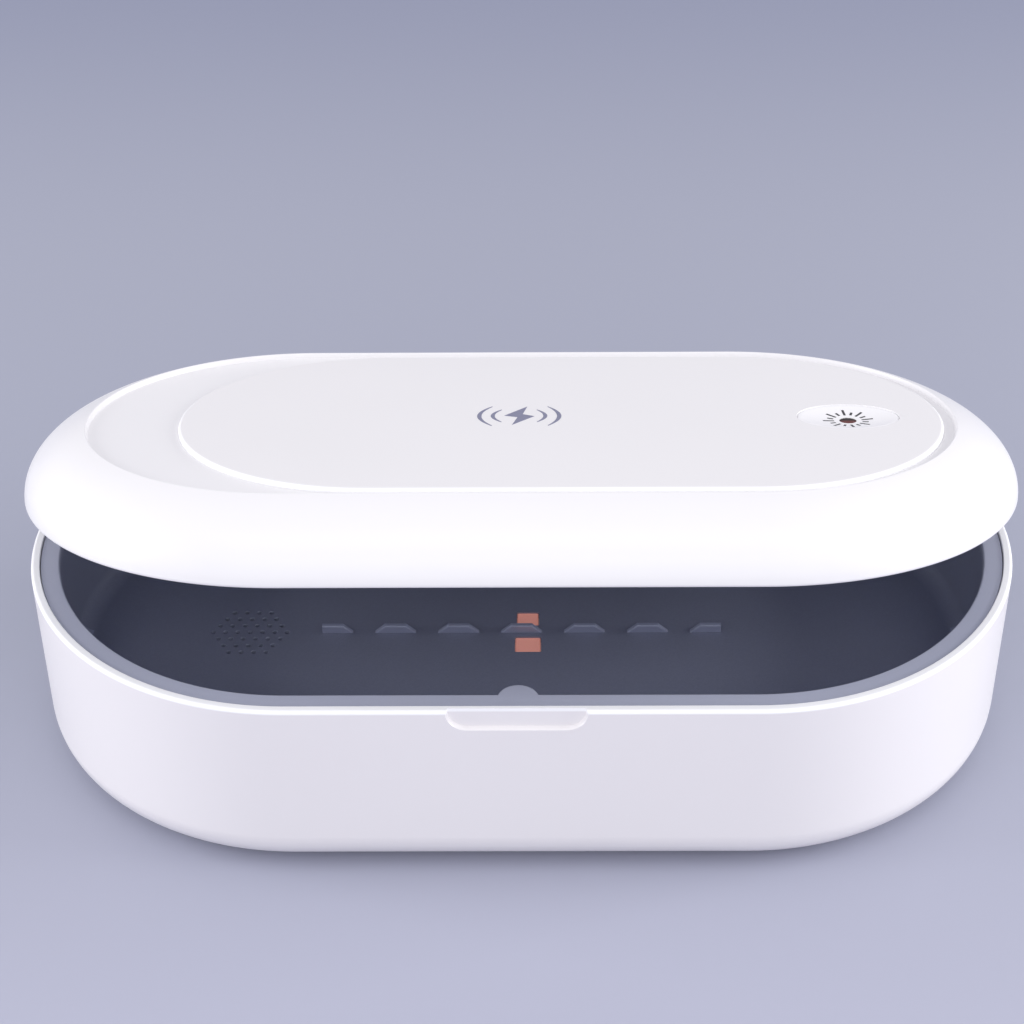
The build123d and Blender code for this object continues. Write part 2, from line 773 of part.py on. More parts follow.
with BuildPart() as lid_shell:
    add(lid_dome(0))
    fillet(lid_shell.edges().group_by(Axis.Z)[0], radius=lid_lip_radius)
    add(lid_hollow.part, mode=Mode.SUBTRACT)
    # sunken deck with a sloping edge, and the pocket for the charging pad
    with BuildSketch(Plane.XY.offset(deck_z)):
        SlotOverall(deck_length, deck_width)
    extrude(amount=nose_rise, taper=-deck_slope, mode=Mode.SUBTRACT)
    with BuildSketch(Plane.XY.offset(pad_z)):
        with Locations((pad_x, 0)):
            SlotOverall(pad_length + 2 * pad_fit, pad_width + 2 * pad_fit)
    extrude(amount=pad_pocket, mode=Mode.SUBTRACT)
    # screw bosses for the liner, and the well for the power key
    with BuildSketch(Plane.XY.offset(lid_boss_z)):
        with Locations(*lid_screw_points):
            Circle(lid_boss_radius)
    extrude(amount=deck_under_z + lid_wall / 8 - lid_boss_z)
    with BuildSketch(Plane.XY.offset(lid_boss_z)):
        with Locations(*lid_screw_points):
            Circle(pilot_radius)
    extrude(amount=deck_under_z - lid_boss_z - seat_gap, mode=Mode.SUBTRACT)
    with BuildSketch(Plane.XY.offset(deck_under_z)):
        with Locations((key_x, 0)):
            Ellipse(key_length / 2 + key_fit, key_width / 2 + key_fit)
    extrude(amount=lid_wall, mode=Mode.SUBTRACT)
    # hinge: cove for the base knuckles, then the lid's two knuckles and their bores
    add(hinge_rod(cove_radius, -hinge_end - knuckle_gap, hinge_end + knuckle_gap), mode=Mode.SUBTRACT)
    add(knuckle(-lid_knuckle_end, -lid_knuckle_start, lid_web))
    add(knuckle(lid_knuckle_start, lid_knuckle_end, lid_web))
    for side in (-1, 1):
        add(hinge_rod(bush_radius, side * (bush_start - bush_relief), side * lid_knuckle_end), mode=Mode.SUBTRACT)
    add(hinge_rod(wire_channel, lid_knuckle_start, bush_start), mode=Mode.SUBTRACT)
    with BuildSketch(Plane.YZ.offset(lid_slot_x + wire_channel)):
        with BuildLine():
            Polyline(*[(hinge_y + y, hinge_z + z) for y, z in lid_slit], close=True)
        make_face()
    extrude(amount=-2 * wire_channel - hinge_wire_bend / 2, mode=Mode.SUBTRACT)
save_on_lid(lid_shell.part, "lid_shell")

# ================================================================ charging pad
with BuildPart() as charging_pad:
    with BuildSketch(Plane.XY.offset(pad_z + seat_gap)):
        with Locations((pad_x, 0)):
            SlotOverall(pad_length, pad_width)
        with Locations((key_x, 0)):
            Ellipse(key_length / 2 + key_fit, key_width / 2 + key_fit, mode=Mode.SUBTRACT)
    extrude(amount=pad_top_z - pad_z - seat_gap)
    pad_rim = charging_pad.edges().group_by(Axis.Z)[-1].filter_by(lambda e: e.length > key_length * 4)
    fillet(pad_rim, radius=pad_edge)
save_on_lid(charging_pad.part, "charging_pad")

# ================================================================ power key
# An ellipsoid, much larger than the key, whose tip presses a shallow oval dish into its top.
dish_spread = 1 / math.sqrt(1 - (1 - dish_depth / dish_ball) ** 2)
with BuildPart() as dish:
    Sphere(1)
    scale(
        by=(
            dish_spread * (key_length / 2 - dish_lip),
            dish_spread * (key_width / 2 - dish_lip),
            dish_ball,
        )
    )

with BuildPart() as power_key:
    with BuildSketch(Plane.XY.offset(flange_z)):
        with Locations((key_x, 0)):
            Ellipse(key_length / 2, key_width / 2)
    extrude(amount=key_top_z - flange_z)
    with BuildSketch(Plane.XY.offset(flange_z)):
        with Locations((key_x, 0)):
            Ellipse(key_length / 2 + key_flange, key_width / 2 + key_flange)
    extrude(amount=key_flange_thickness)
    with BuildSketch(Plane.XY.offset(flange_z)):
        with Locations((key_x - stem_offset, 0)):
            Circle(stem_radius)
    extrude(amount=plunger_top_z + seat_gap - flange_z)
    with Locations((key_x, 0, key_top_z + dish_ball - dish_depth)):
        add(dish.part, mode=Mode.SUBTRACT)
    with BuildSketch(Plane.XY.offset(flange_z)):
        with Locations((key_x, 0)):
            Circle(window_radius + window_fit)
    extrude(amount=key_top_z - flange_z, mode=Mode.SUBTRACT)
save_on_lid(power_key.part, "power_key")

with BuildPart() as key_window:
    with BuildSketch(Plane.XY.offset(window_z)):
        with Locations((key_x, 0)):
            Circle(window_radius)
    extrude(amount=key_top_z - dish_depth - window_z)
save_on_lid(key_window.part, "key_window")

with BuildPart() as switch_plunger:
    with BuildSketch(Plane.XY.offset(plunger_top_z)):
        with Locations((key_x - stem_offset, 0)):
            Circle(plunger_radius)
    extrude(amount=-plunger_height)
save_on_lid(switch_plunger.part, "switch_plunger")

# ================================================================ control board under the key
with BuildPart() as control_board:
    with BuildSketch(Plane.XY.offset(lid_board_z)):
        with Locations((control_board_x, 0)):
            RectangleRounded(control_board_length, control_board_width, board_corner)
    extrude(amount=lid_board_thickness)
save_on_lid(control_board.part, "control_board")

with BuildPart() as tact_switch:
    with BuildSketch(Plane.XY.offset(lid_board_top_z)):
        with Locations((key_x - stem_offset, 0)):
            Rectangle(switch_size, switch_size)
    extrude(amount=switch_height)
    with BuildSketch(Plane.XY.offset(switch_top_z)):
        with Locations((key_x - stem_offset, 0)):
            Circle(plunger_radius + plunger_fit)
    extrude(amount=plunger_top_z - plunger_height - key_travel - plunger_fit - switch_top_z, mode=Mode.SUBTRACT)
save_on_lid(tact_switch.part, "tact_switch")

with BuildPart() as indicator_lamp:
    with BuildSketch(Plane.XY.offset(lid_board_top_z)):
        with Locations((key_x, 0)):
            Rectangle(indicator_length, indicator_width)
    extrude(amount=indicator_height)
save_on_lid(indicator_lamp.part, "indicator_lamp")

# ================================================================ lid liner
# A flat flange inside the lid's edge, and a raised field that carries the lamps and boards.
with BuildPart() as liner_field:
    with BuildSketch(Plane.XY.offset(liner_z)):
        SlotOverall(field_length, field_width)
    extrude(amount=field_rise, taper=field_taper)

with BuildPart() as lid_liner:
    with BuildSketch(Plane.XY.offset(liner_z)):
        SlotOverall(field_length + 2 * liner_wall, field_width + 2 * liner_wall)
    extrude(amount=field_rise + liner_wall, taper=field_taper)
    with BuildSketch(Plane.XY.offset(liner_z)):
        SlotOverall(liner_length, liner_width)
        with Locations((0, liner_notch_y)):
            Rectangle(
                2 * (hinge_end + knuckle_gap + liner_fit),
                liner_width,
                align=(Align.CENTER, Align.MIN),
                mode=Mode.SUBTRACT,
            )
    extrude(amount=liner_wall)
    add(liner_field.part, mode=Mode.SUBTRACT)
    # screw bosses, board posts and the cup for the magnet, all on its upper side
    with BuildSketch(Plane.XY.offset(field_z)):
        with Locations(*lid_screw_points):
            Circle(lid_boss_radius)
    extrude(amount=liner_wall + liner_boss_height)
    with BuildSketch(Plane.XY.offset(field_z + liner_wall / 2)):
        with Locations((0, charge_board_y)):
            with GridLocations(2 * charge_board_post_x, 2 * charge_board_post_y, 2, 2):
                Circle(board_post_radius)
        with Locations((control_board_x, 0)):
            with GridLocations(2 * control_board_post_x, 2 * control_board_post_y, 2, 2):
                Circle(board_post_radius)
    extrude(amount=liner_wall / 2 + board_post_height - seat_gap)
    with BuildSketch(Plane.XY.offset(liner_z + liner_wall)):
        with Locations((0, magnet_y)):
            Circle(magnet_radius + magnet_fit + magnet_cup_wall)
            Circle(magnet_radius + magnet_fit, mode=Mode.SUBTRACT)
    extrude(amount=magnet_height)
    # countersunk screw holes and the lamp windows
    with Locations(*[(x, y, field_z) for x, y in lid_screw_points]):
        Cone(
            screw_head_radius + screw_fit,
            screw_radius + screw_fit,
            screw_head_height + screw_fit,
            align=(Align.CENTER, Align.CENTER, Align.MIN),
            mode=Mode.SUBTRACT,
        )
    with BuildSketch(Plane.XY.offset(field_z)):
        with Locations(*lid_screw_points):
            Circle(screw_radius + screw_fit)
    extrude(amount=liner_wall + liner_boss_height, mode=Mode.SUBTRACT)
    with BuildSketch(Plane.XY.offset(field_z)):
        with Locations(*strip_spots):
            Rectangle(led_length + 2 * led_clearance, led_width + 2 * led_clearance)
    extrude(amount=liner_wall, mode=Mode.SUBTRACT)
save_on_lid(lid_liner.part, "lid_liner")

with BuildPart() as lid_lamp_strip:
    with BuildSketch(Plane.XY.offset(field_top_z + seat_gap)):
        RectangleRounded(strip_length, strip_width, board_corner)
    extrude(amount=strip_thickness)
save_on_lid(lid_lamp_strip.part, "lid_lamp_strip")

with BuildPart() as lid_uv_lamps:
    with BuildSketch(Plane.XY.offset(field_top_z + seat_gap)):
        with Locations(*strip_spots):
            Rectangle(led_length, led_width)
    extrude(amount=-led_height)
save_on_lid(lid_uv_lamps.part, "lid_uv_lamps")

with BuildPart() as lid_screws:
    with Locations(*lid_screw_points):
        add(screw(field_z + seat_gap, lid_screw_length))
save_on_lid(lid_screws.part, "lid_screws")

with BuildPart() as lid_magnet:
    with BuildSketch(Plane.XY.offset(liner_z + liner_wall + seat_gap)):
        with Locations((0, magnet_y)):
            Circle(magnet_radius)
    extrude(amount=magnet_height)
save_on_lid(lid_magnet.part, "lid_magnet")

# ================================================================ wireless charging parts
with BuildPart() as charging_coil:
    with BuildSketch(Plane.XY.offset(coil_z)):
        with Locations((0, coil_y)):
            Circle(coil_radius)
            Circle(coil_eye_radius, mode=Mode.SUBTRACT)
    extrude(amount=coil_thickness)
    # grooves between the turns of the winding, on its lower face
    turn_pitch = (coil_radius - coil_eye_radius) / coil_turns
    with BuildSketch(Plane.XY.offset(coil_z)):
        with Locations((0, coil_y)):
            for turn in range(1, coil_turns):
                groove_radius = coil_eye_radius + turn * turn_pitch
                Circle(groove_radius + coil_groove / 2)
                Circle(groove_radius - coil_groove / 2, mode=Mode.SUBTRACT)
    extrude(amount=coil_groove, mode=Mode.SUBTRACT)
save_on_lid(charging_coil.part, "charging_coil")

with BuildPart() as ferrite_sheet:
    with BuildSketch(Plane.XY.offset(ferrite_z)):
        with Locations((0, coil_y)):
            Circle(coil_radius + ferrite_overhang)
    extrude(amount=ferrite_thickness)
save_on_lid(ferrite_sheet.part, "ferrite_sheet")

with BuildPart() as charge_board:
    with BuildSketch(Plane.XY.offset(lid_board_z)):
        with Locations((0, charge_board_y)):
            RectangleRounded(charge_board_length, charge_board_width, board_corner)
    extrude(amount=lid_board_thickness)
save_on_lid(charge_board.part, "charge_board")

with BuildPart() as charge_chips:
    with BuildSketch(Plane.XY.offset(lid_board_top_z)):
        with Locations((0, charge_board_y)):
            with GridLocations(2 * charge_chip_size, 0, 2, 1):
                Rectangle(charge_chip_size, charge_chip_size)
    extrude(amount=charge_chip_height)
save_on_lid(charge_chips.part, "charge_chips")

# ================================================================ wiring in the lid
lid_hinge_lead = [
    (middle_end + knuckle_gap / 2 + wire_gap / 2, hinge_y, hinge_z),
    (lid_slot_x, hinge_y, hinge_z),
    (lid_slot_x, lid_riser_y, hinge_z + barrel_radius),
    (lid_slot_x, lid_riser_y - 2 * wire_rise, lid_wire_z),
    (lid_slot_x, lid_lead_y, lid_wire_z),
    (lid_slot_x, lid_lead_y, lid_board_top_z + wire_gap),
]
control_lead = [
    (charge_lead_x, lid_lead_y, lid_board_top_z + wire_gap),
    (charge_lead_x, lid_lead_y, lid_wire_z),
    (control_board_x, control_board_post_y, lid_wire_z),
    (control_board_x, control_board_post_y, lid_board_top_z + wire_gap),
]
strip_lead = [
    (-charge_lead_x, strip_lead_y, lid_board_top_z + wire_gap),
    (-charge_lead_x, strip_lead_y, lid_wire_z),
    (strip_lead_x, strip_width / 4, lid_wire_z),
    (strip_lead_x, strip_width / 4, field_top_z + strip_thickness + seat_gap + wire_gap),
]
with BuildPart() as lid_wires:
    add(wire(lid_hinge_lead, [hinge_wire_bend, hinge_wire_bend, wire_bend, board_wire_bend]))
    add(wire(control_lead, board_wire_bend))
    add(wire(strip_lead, board_wire_bend))
save_on_lid(lid_wires.part, "lid_wires")
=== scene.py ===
# %% [markdown]
# # A steriliser box for phones
#
# The measured model already holds every piece of the box at its real size: an oval tub, a lid that
# stands ajar on two steel pins, the slate tray inside, the lamps and the circuit boards. This
# notebook gives those pieces their finishes, moulds the large shells again with smooth highlights,
# and adds what a drafting model leaves out, such as the printed signs, the threads of the screws
# and the windings of the coil.
#
# Everything is in metres and shares one frame: X runs along the box, -Y is the front, Z is up.
# Sizes below are written in millimetres, as a toolmaker would, and are scaled once, at the end.

# %% Load the measured model
import math

import bmesh
import bpy
import numpy as np
from mathutils import Matrix, Vector


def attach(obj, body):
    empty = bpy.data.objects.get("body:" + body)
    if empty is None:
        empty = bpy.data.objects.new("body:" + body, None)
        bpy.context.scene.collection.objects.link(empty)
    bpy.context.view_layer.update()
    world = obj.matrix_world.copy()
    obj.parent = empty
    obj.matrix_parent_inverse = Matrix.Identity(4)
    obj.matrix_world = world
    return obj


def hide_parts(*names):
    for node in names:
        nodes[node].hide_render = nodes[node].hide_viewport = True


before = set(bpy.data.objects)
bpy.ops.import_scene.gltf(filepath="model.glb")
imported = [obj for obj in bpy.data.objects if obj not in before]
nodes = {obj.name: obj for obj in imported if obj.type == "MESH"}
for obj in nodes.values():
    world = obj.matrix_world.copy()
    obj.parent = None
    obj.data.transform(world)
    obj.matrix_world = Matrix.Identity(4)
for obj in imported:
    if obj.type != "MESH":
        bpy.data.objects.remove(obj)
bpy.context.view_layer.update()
mm = 0.001
hinge = Vector((0.0, 60.2, 46.2))
ajar = math.radians(13.5)
print("pieces in the measured model:", len(nodes))


# %% [markdown]
# ## A small language for node trees
#
# Both a finish and a growing recipe are graphs of nodes. Written out one node at a time, even
# "noise times two plus a half" takes a dozen lines, so a socket is wrapped in a class that knows
# Python's own operators: adding two of them places the Math node that adds. Every other node comes
# from one method, which takes its type, its settings and whatever goes into its sockets.

# %% Wrap sockets in arithmetic
class Wire:
    """An output socket of a node, which can be added, multiplied and compared."""

    def __init__(self, graph, socket):
        self.graph = graph
        self.socket = socket

    def join(self, operation, *values):
        """Place the Math node of that name and feed it."""
        return self.graph.node("ShaderNodeMath", {"operation": operation}, dict(enumerate(values)))

    def __add__(self, other):
        return self.join("ADD", self, other)

    __radd__ = __add__

    def __sub__(self, other):
        return self.join("SUBTRACT", self, other)

    def __rsub__(self, other):
        return self.join("SUBTRACT", other, self)

    def __mul__(self, other):
        return self.join("MULTIPLY", self, other)

    __rmul__ = __mul__

    def __truediv__(self, other):
        return self.join("DIVIDE", self, other)

    def __gt__(self, other):
        return self.join("GREATER_THAN", self, other)

    def __lt__(self, other):
        return self.join("LESS_THAN", self, other)

    def __mod__(self, other):
        return self.join("MODULO", self, other)

    def sine(self):
        return self.join("SINE", self)

    def cosine(self):
        return self.join("COSINE", self)


class Graph:
    """A node tree that is written as expressions."""

    def __init__(self, tree):
        self.tree = tree

    def node(self, kind, settings=None, sockets=None, output=0):
        """Add any node: settings are its properties, sockets its values or links."""
        made = self.tree.nodes.new(kind)
        for key, value in (settings or {}).items():
            setattr(made, key, value)
        for key, value in (sockets or {}).items():
            if isinstance(value, Wire):
                self.tree.links.new(value.socket, made.inputs[key])
            elif made.inputs[key].type == "RGBA" and len(value) == 3:
                made.inputs[key].default_value = (*value, 1)
            else:
                made.inputs[key].default_value = value
        return Wire(self, made.outputs[output])


print("node trees can be written as sums")


# %% [markdown]
# ## Finishes
#
# Most finishes start from one Principled shader. What is the same all over a surface is set on its
# sockets, and what varies is a noise or a pattern that reads Object coordinates, so it rides with
# the piece and never slides. A real moulding is never optically flat, which is why even the
# plainest finish here has two or three weak noises of different size.

# %% The class for finishes
class Finish(Graph):
    """A material that is built node by node round one Principled shader."""

    def __init__(self, name, **constants):
        self.material = bpy.data.materials.new(name)
        self.material.use_nodes = True
        super().__init__(self.material.node_tree)
        self.shader = self.tree.nodes["Principled BSDF"]
        for socket, value in constants.items():
            self.shader.inputs[socket.replace("_", " ")].default_value = value

    def place(self):
        """Where a point lies on the piece, in metres, riding with the piece."""
        return self.node("ShaderNodeTexCoord", output="Object")

    def axis(self, letter):
        """One coordinate of the place on the piece."""
        return self.node("ShaderNodeSeparateXYZ", None, {0: self.place()}, letter)

    def noise(self, per_metre, detail=3.0, roughness=0.5, place=None):
        """Soft random values around a half."""
        sockets = {"Vector": place or self.place(), "Scale": per_metre}
        sockets |= {"Detail": detail, "Roughness": roughness}
        return self.node("ShaderNodeTexNoise", None, sockets, "Fac")

    def stretched(self, along, across, height):
        """The place on the piece with each axis scaled, for grain that runs one way."""
        sockets = {"Vector": self.place(), "Scale": (along, across, height)}
        return self.node("ShaderNodeMapping", None, sockets)

    def between(self, wire, low, high, to_low=0.0, to_high=1.0):
        """Stretch a run of values to another run, holding the ends."""
        sockets = {"Value": wire, 1: low, 2: high, 3: to_low, 4: to_high}
        return self.node("ShaderNodeMapRange", {"clamp": True}, sockets)

    def blend(self, factor, first, second):
        """Mix two colours."""
        sockets = {0: factor, 6: first, 7: second}
        return self.node("ShaderNodeMix", {"data_type": "RGBA"}, sockets, 2)

    def put(self, socket, wire):
        """Feed a wire into a socket of the shader."""
        self.tree.links.new(wire.socket, self.shader.inputs[socket])

    def uneven_gloss(self, grain, low, high, smooth, rough):
        """Let the roughness follow a grain, between a smooth and a rough value."""
        self.put("Roughness", self.between(grain, low, high, smooth, rough))

    def bump(self, height, distance):
        """Raise the surface by a height between 0 and 1 times a distance in metres."""
        sockets = {"Height": height, "Distance": distance}
        self.put("Normal", self.node("ShaderNodeBump", None, sockets))

    def wear(self, piece):
        """Put this finish, and nothing else, on a piece."""
        piece.data.materials.clear()
        piece.data.materials.append(self.material)


def shade(colour, share):
    """A colour with its three parts scaled."""
    return tuple(share * part for part in colour)


print("finish class ready")


# %% [markdown]
# ### White mouldings
#
# The tub and the lid are injection-moulded in glossy white plastic. The flow of the melt leaves it
# a shade warmer here and cooler there, the polish of the mould varies, and close up there is a
# faint orange peel. The charging pad is the same white with a satin top; the key's white is painted
# paler than the pad's, as painted light on its dish. The tub's rim and the pad's bevelled edge get
# a
# painted highlight: their colour is paler than the faces. The pad stands ajar with the lid, so the
# painted highlight on its bevel is found by the height over the hinge, along the lid.

# %% White shells, pad and key
flow_per_metre, polish_per_metre, peel_per_metre = 9.0, 55.0, 620.0
peel_depth = 0.006 * mm
# The colour of the painted highlights on the tub's rim and the pad's bevel.
painted_highlight_white = (0.98, 0.98, 0.99)


def moulded(name, colour, roughness, rim_highlight_above=None, bevel_highlight_below=None):
    """White plastic with melt flow, uneven polish, orange peel, and maybe a painted highlight on
    rim or bevel.
    """
    finish = Finish(name, IOR=1.5)
    flow = finish.between(finish.noise(flow_per_metre, 2.0), 0.2, 0.8)
    tinted = finish.blend(flow, colour, shade(colour, 0.975))
    # Painted highlight: the rim is coloured paler above a height.
    if rim_highlight_above:
        rim = finish.between(finish.axis("Z"), rim_highlight_above * mm, (rim_highlight_above + 0.35) * mm)
        tinted = finish.blend(rim, tinted, painted_highlight_white)
    # Painted highlight: the pad's bevel is coloured paler, by its height over the hinge along the
    # lid.
    if bevel_highlight_below:
        back = finish.axis("Y") - hinge.y * mm
        rise = finish.axis("Z") - hinge.z * mm
        over_pin = back * math.sin(ajar) + rise * math.cos(ajar)
        edge = bevel_highlight_below - hinge.z
        bevel = finish.between(over_pin, edge * mm, (edge - 0.1) * mm)
        tinted = finish.blend(bevel, tinted, painted_highlight_white)
    finish.put("Base Color", tinted)
    polish = finish.noise(polish_per_metre, 2.0)
    finish.uneven_gloss(polish, 0.0, 1.0, roughness - 0.05, roughness + 0.05)
    finish.bump(finish.noise(peel_per_metre, 1.0), peel_depth)
    return finish


shell_white = moulded("moulded_white", (0.85, 0.838, 0.848), 0.30)
tub_white = moulded("moulded_white_tub", (0.85, 0.825, 0.835), 0.30, rim_highlight_above=45.0)
pad_white = moulded("satin_pad_white", (0.835, 0.82, 0.825), 0.42, bevel_highlight_below=61.38)
# The key's white is painted paler than the pad's: painted light on its dish.
key_white = moulded("satin_key_white", (0.91, 0.90, 0.91), 0.34)
print("white finishes:", len(bpy.data.materials))

# %% [markdown]
# ### Slate lacquer
#
# The tray and the liner of the lid are sprayed with a slate-grey lacquer that holds fine metal
# flakes. The flakes are a Voronoi pattern whose cells differ a little in brightness, and the spray
# lies thicker in some places, which shifts both the colour and the gloss. In the tray the ledge and
# the teeth carry painted light: they are coloured paler than the shaded well.

# %% Slate lacquer with metal flakes
# Painted light in the tray: the ledge and the teeth are coloured paler than the shaded well.
slate_grey, painted_ledge_light = (0.27, 0.29, 0.39), (0.47, 0.49, 0.60)
ledge_light_starts, ledge_light_full = 43.0 * mm, 45.2 * mm
teeth_light_low, teeth_light_high, teeth_light_reach = 19.42 * mm, 22.0 * mm, 0.75 * mm


def slate_lacquer(name, roughness, with_painted_tray_light=False):
    """Grey lacquer with fine flakes and an uneven spray, with painted light on the tray's ledge and
    teeth.
    """
    finish = Finish(name, IOR=1.5, Metallic=0.12)
    cells = {"Vector": finish.place(), "Scale": 3200.0}
    flakes = finish.node("ShaderNodeTexVoronoi", None, cells, "Color")
    sparkle = finish.node("ShaderNodeSeparateColor", None, {0: flakes})
    cloud = finish.between(finish.noise(14.0, 3.0), 0.3, 0.7)
    mixed = cloud * 0.6 + finish.between(sparkle, 0.0, 1.0) * 0.4
    coat = finish.blend(mixed, shade(slate_grey, 0.90), shade(slate_grey, 1.08))
    if with_painted_tray_light:
        height, depth = finish.axis("Z"), finish.axis("Y")
        # Painted light: the ledge is coloured paler above a height.
        ledge = finish.blend(mixed, shade(painted_ledge_light, 0.96), painted_ledge_light)
        coat = finish.blend(finish.between(height, ledge_light_starts, ledge_light_full), coat, ledge)
        # Painted light: the teeth along the middle of the floor are coloured paler than the floor.
        comb = (height > teeth_light_low) * (depth.join("ABSOLUTE", depth) < teeth_light_reach)
        coat = finish.blend(comb * (height < teeth_light_high), coat, shade(slate_grey, 1.42))
    finish.put("Base Color", coat)
    spray = finish.noise(90.0, 2.0)
    finish.uneven_gloss(spray, 0.0, 1.0, roughness - 0.06, roughness + 0.06)
    finish.bump(finish.noise(1400.0, 2.0), 0.004 * mm)
    return finish


slate = slate_lacquer("slate_lacquer", 0.36)
tray_slate = slate_lacquer("slate_lacquer_tray", 0.36, with_painted_tray_light=True)
print("slate finishes:", slate.material.name, tray_slate.material.name)

# %% [markdown]
# ### Metals, boards and the small parts
#
# Turned and drawn metal shows fine lines along the way it was worked, so its noise is stretched
# hard on one axis. Solder mask is a thin green paint over copper tracks: the tracks are a Voronoi
# edge pattern that raises the paint and makes it paler. Rubber is dull and slightly dusty, felt is
# a tangle of fibres at two sizes, and ferrite is a speckled black ceramic.

# %% Worked metals
def worked_metal(name, colour, roughness, grain=(60.0, 2600.0, 2600.0)):
    """Bare metal with fine lines, along X unless told otherwise, and a few duller clouds."""
    finish = Finish(name, Metallic=1.0)
    lines = finish.noise(1.0, 2.0, place=finish.stretched(*grain))
    cloud = finish.between(finish.noise(120.0, 2.0), 0.35, 0.65)
    finish.put("Base Color", finish.blend(cloud, colour, shade(colour, 0.82)))
    finish.uneven_gloss(lines, 0.25, 0.75, roughness - 0.08, roughness + 0.10)
    finish.bump(lines, 0.004 * mm)
    return finish


steel = worked_metal("plated_steel", (0.62, 0.62, 0.64), 0.28)
can_metal = worked_metal("drawn_can", (0.72, 0.72, 0.74), 0.30, (2600.0, 2600.0, 60.0))
nickel = worked_metal("nickel_plate", (0.68, 0.67, 0.66), 0.16, (900.0, 900.0, 900.0))
copper = worked_metal("enamelled_copper", (0.74, 0.36, 0.20), 0.26, (300.0, 300.0, 300.0))
tin = worked_metal("solder_tin", (0.74, 0.74, 0.76), 0.24, (700.0, 700.0, 700.0))
gold = worked_metal("gold_contact", (0.86, 0.62, 0.28), 0.22, (500.0, 500.0, 500.0))
metals = (steel, can_metal, nickel, copper, tin, gold)
print("metals:", ", ".join(metal.material.name for metal in metals))


# %% Boards
def solder_mask(name, paint, over_track):
    """Painted circuit board with tracks that show through the paint."""
    finish = Finish(name, IOR=1.5, Coat_Weight=0.25, Coat_Roughness=0.2)
    cells = {"Vector": finish.place(), "Scale": 330.0}
    edge = finish.node("ShaderNodeTexVoronoi", {"feature": "DISTANCE_TO_EDGE"}, cells)
    track = edge < 0.06
    weave = finish.noise(1900.0, 1.0)
    finish.put("Base Color", finish.blend(track * 0.8 + weave * 0.15, paint, over_track))
    finish.uneven_gloss(weave, 0.3, 0.7, 0.34, 0.44)
    finish.bump(track, 0.03 * mm)
    return finish


board_green = solder_mask("green_solder_mask", (0.025, 0.15, 0.07), (0.07, 0.28, 0.12))
board_white = solder_mask("white_solder_mask", (0.76, 0.77, 0.78), (0.86, 0.86, 0.86))
print("board finishes:", board_green.material.name, board_white.material.name)


# %% Plastics, rubber, felt and ceramics
def speckled(name, colour, roughness, per_metre, second_share, bump_mm, **constants):
    """A through-coloured material with speckles of a second shade."""
    finish = Finish(name, **constants)
    grain = finish.noise(per_metre, 4.0, 0.6)
    speckles = finish.between(grain, 0.35, 0.65)
    finish.put("Base Color", finish.blend(speckles, colour, shade(colour, second_share)))
    clouds = finish.noise(per_metre / 3, 2.0)
    finish.uneven_gloss(clouds, 0.3, 0.7, roughness - 0.06, roughness + 0.06)
    finish.bump(grain, bump_mm * mm)
    return finish


chip_black = speckled("moulded_package", (0.030, 0.030, 0.034), 0.55, 2400.0, 1.5, 0.012)
acetal = speckled("natural_acetal", (0.78, 0.76, 0.70), 0.38, 300.0, 0.94, 0.004, IOR=1.48)
cup_white, felt_cream = (0.80, 0.80, 0.82), (0.74, 0.71, 0.63)
cup_plastic = speckled("natural_polypropylene", cup_white, 0.42, 240.0, 0.95, 0.006, IOR=1.49)
rubber_grey = speckled("foot_rubber", (0.16, 0.16, 0.175), 0.72, 900.0, 1.25, 0.02)
wire_insulation = speckled("silicone_insulation", (0.045, 0.045, 0.05), 0.48, 700.0, 1.3, 0.006)
ferrite = speckled("sintered_ferrite", (0.055, 0.055, 0.06), 0.62, 3600.0, 1.6, 0.015)
felt = speckled("wool_felt", felt_cream, 0.92, 1500.0, 0.72, 0.22, Sheen_Weight=0.5)
sign_ink = speckled("sign_ink", (0.215, 0.22, 0.32), 0.45, 2600.0, 0.9, 0.003)
ray_ink = speckled("ray_ink", (0.012, 0.012, 0.016), 0.40, 2600.0, 1.6, 0.003)

pink, glow, dim_glow = (0.78, 0.34, 0.28), (0.80, 0.34, 0.28), (0.74, 0.31, 0.25)
glowing = {"Emission_Strength": 0.30}
lamp_pink = speckled("copper_pink_ceramic", pink, 0.5, 2000.0, 1.1, 0.004, **glowing)
lamp_pink.put("Emission Color", lamp_pink.blend(lamp_pink.noise(900.0), glow, dim_glow))
print("small finishes:", len(bpy.data.materials))


# %% Smoked window of the key
def smoked_window(name):
    """A dark lens with a red cast where its lamp shines through."""
    finish = Finish(name, IOR=1.5, Specular_IOR_Level=0.12)
    haze = finish.noise(900.0, 2.0)
    dark, darker, red = (0.012, 0.005, 0.005), (0.006, 0.003, 0.003), (0.13, 0.035, 0.030)
    smoke = finish.blend(finish.between(haze, 0.35, 0.65), darker, dark)
    cast = finish.between(finish.axis("Y"), 5.5 * mm, 4.3 * mm)
    finish.put("Base Color", finish.blend(cast, smoke, red))
    finish.uneven_gloss(haze, 0.3, 0.7, 0.30, 0.42)
    finish.bump(haze, 0.002 * mm)
    return finish


key_window = smoked_window("smoked_red")
print("window finish:", key_window.material.name)


# %% [markdown]
# ## Growing recipes
#
# Whatever repeats, or follows a rule, is grown by Geometry Nodes: the scent holes, the teeth, the
# rays of the key's sign, threads and windings. A recipe is a tree with named inputs for its sizes.
# Its instances are realised and its material set inside the tree, and the evaluated result is
# taken as a plain mesh, so nothing live is left on the piece.

# %% The class for growing recipes
collection = bpy.context.scene.collection
SOCKET_KINDS = {
    float: "NodeSocketFloat",
    int: "NodeSocketInt",
    bpy.types.Object: "NodeSocketObject",
    bpy.types.Material: "NodeSocketMaterial",
}


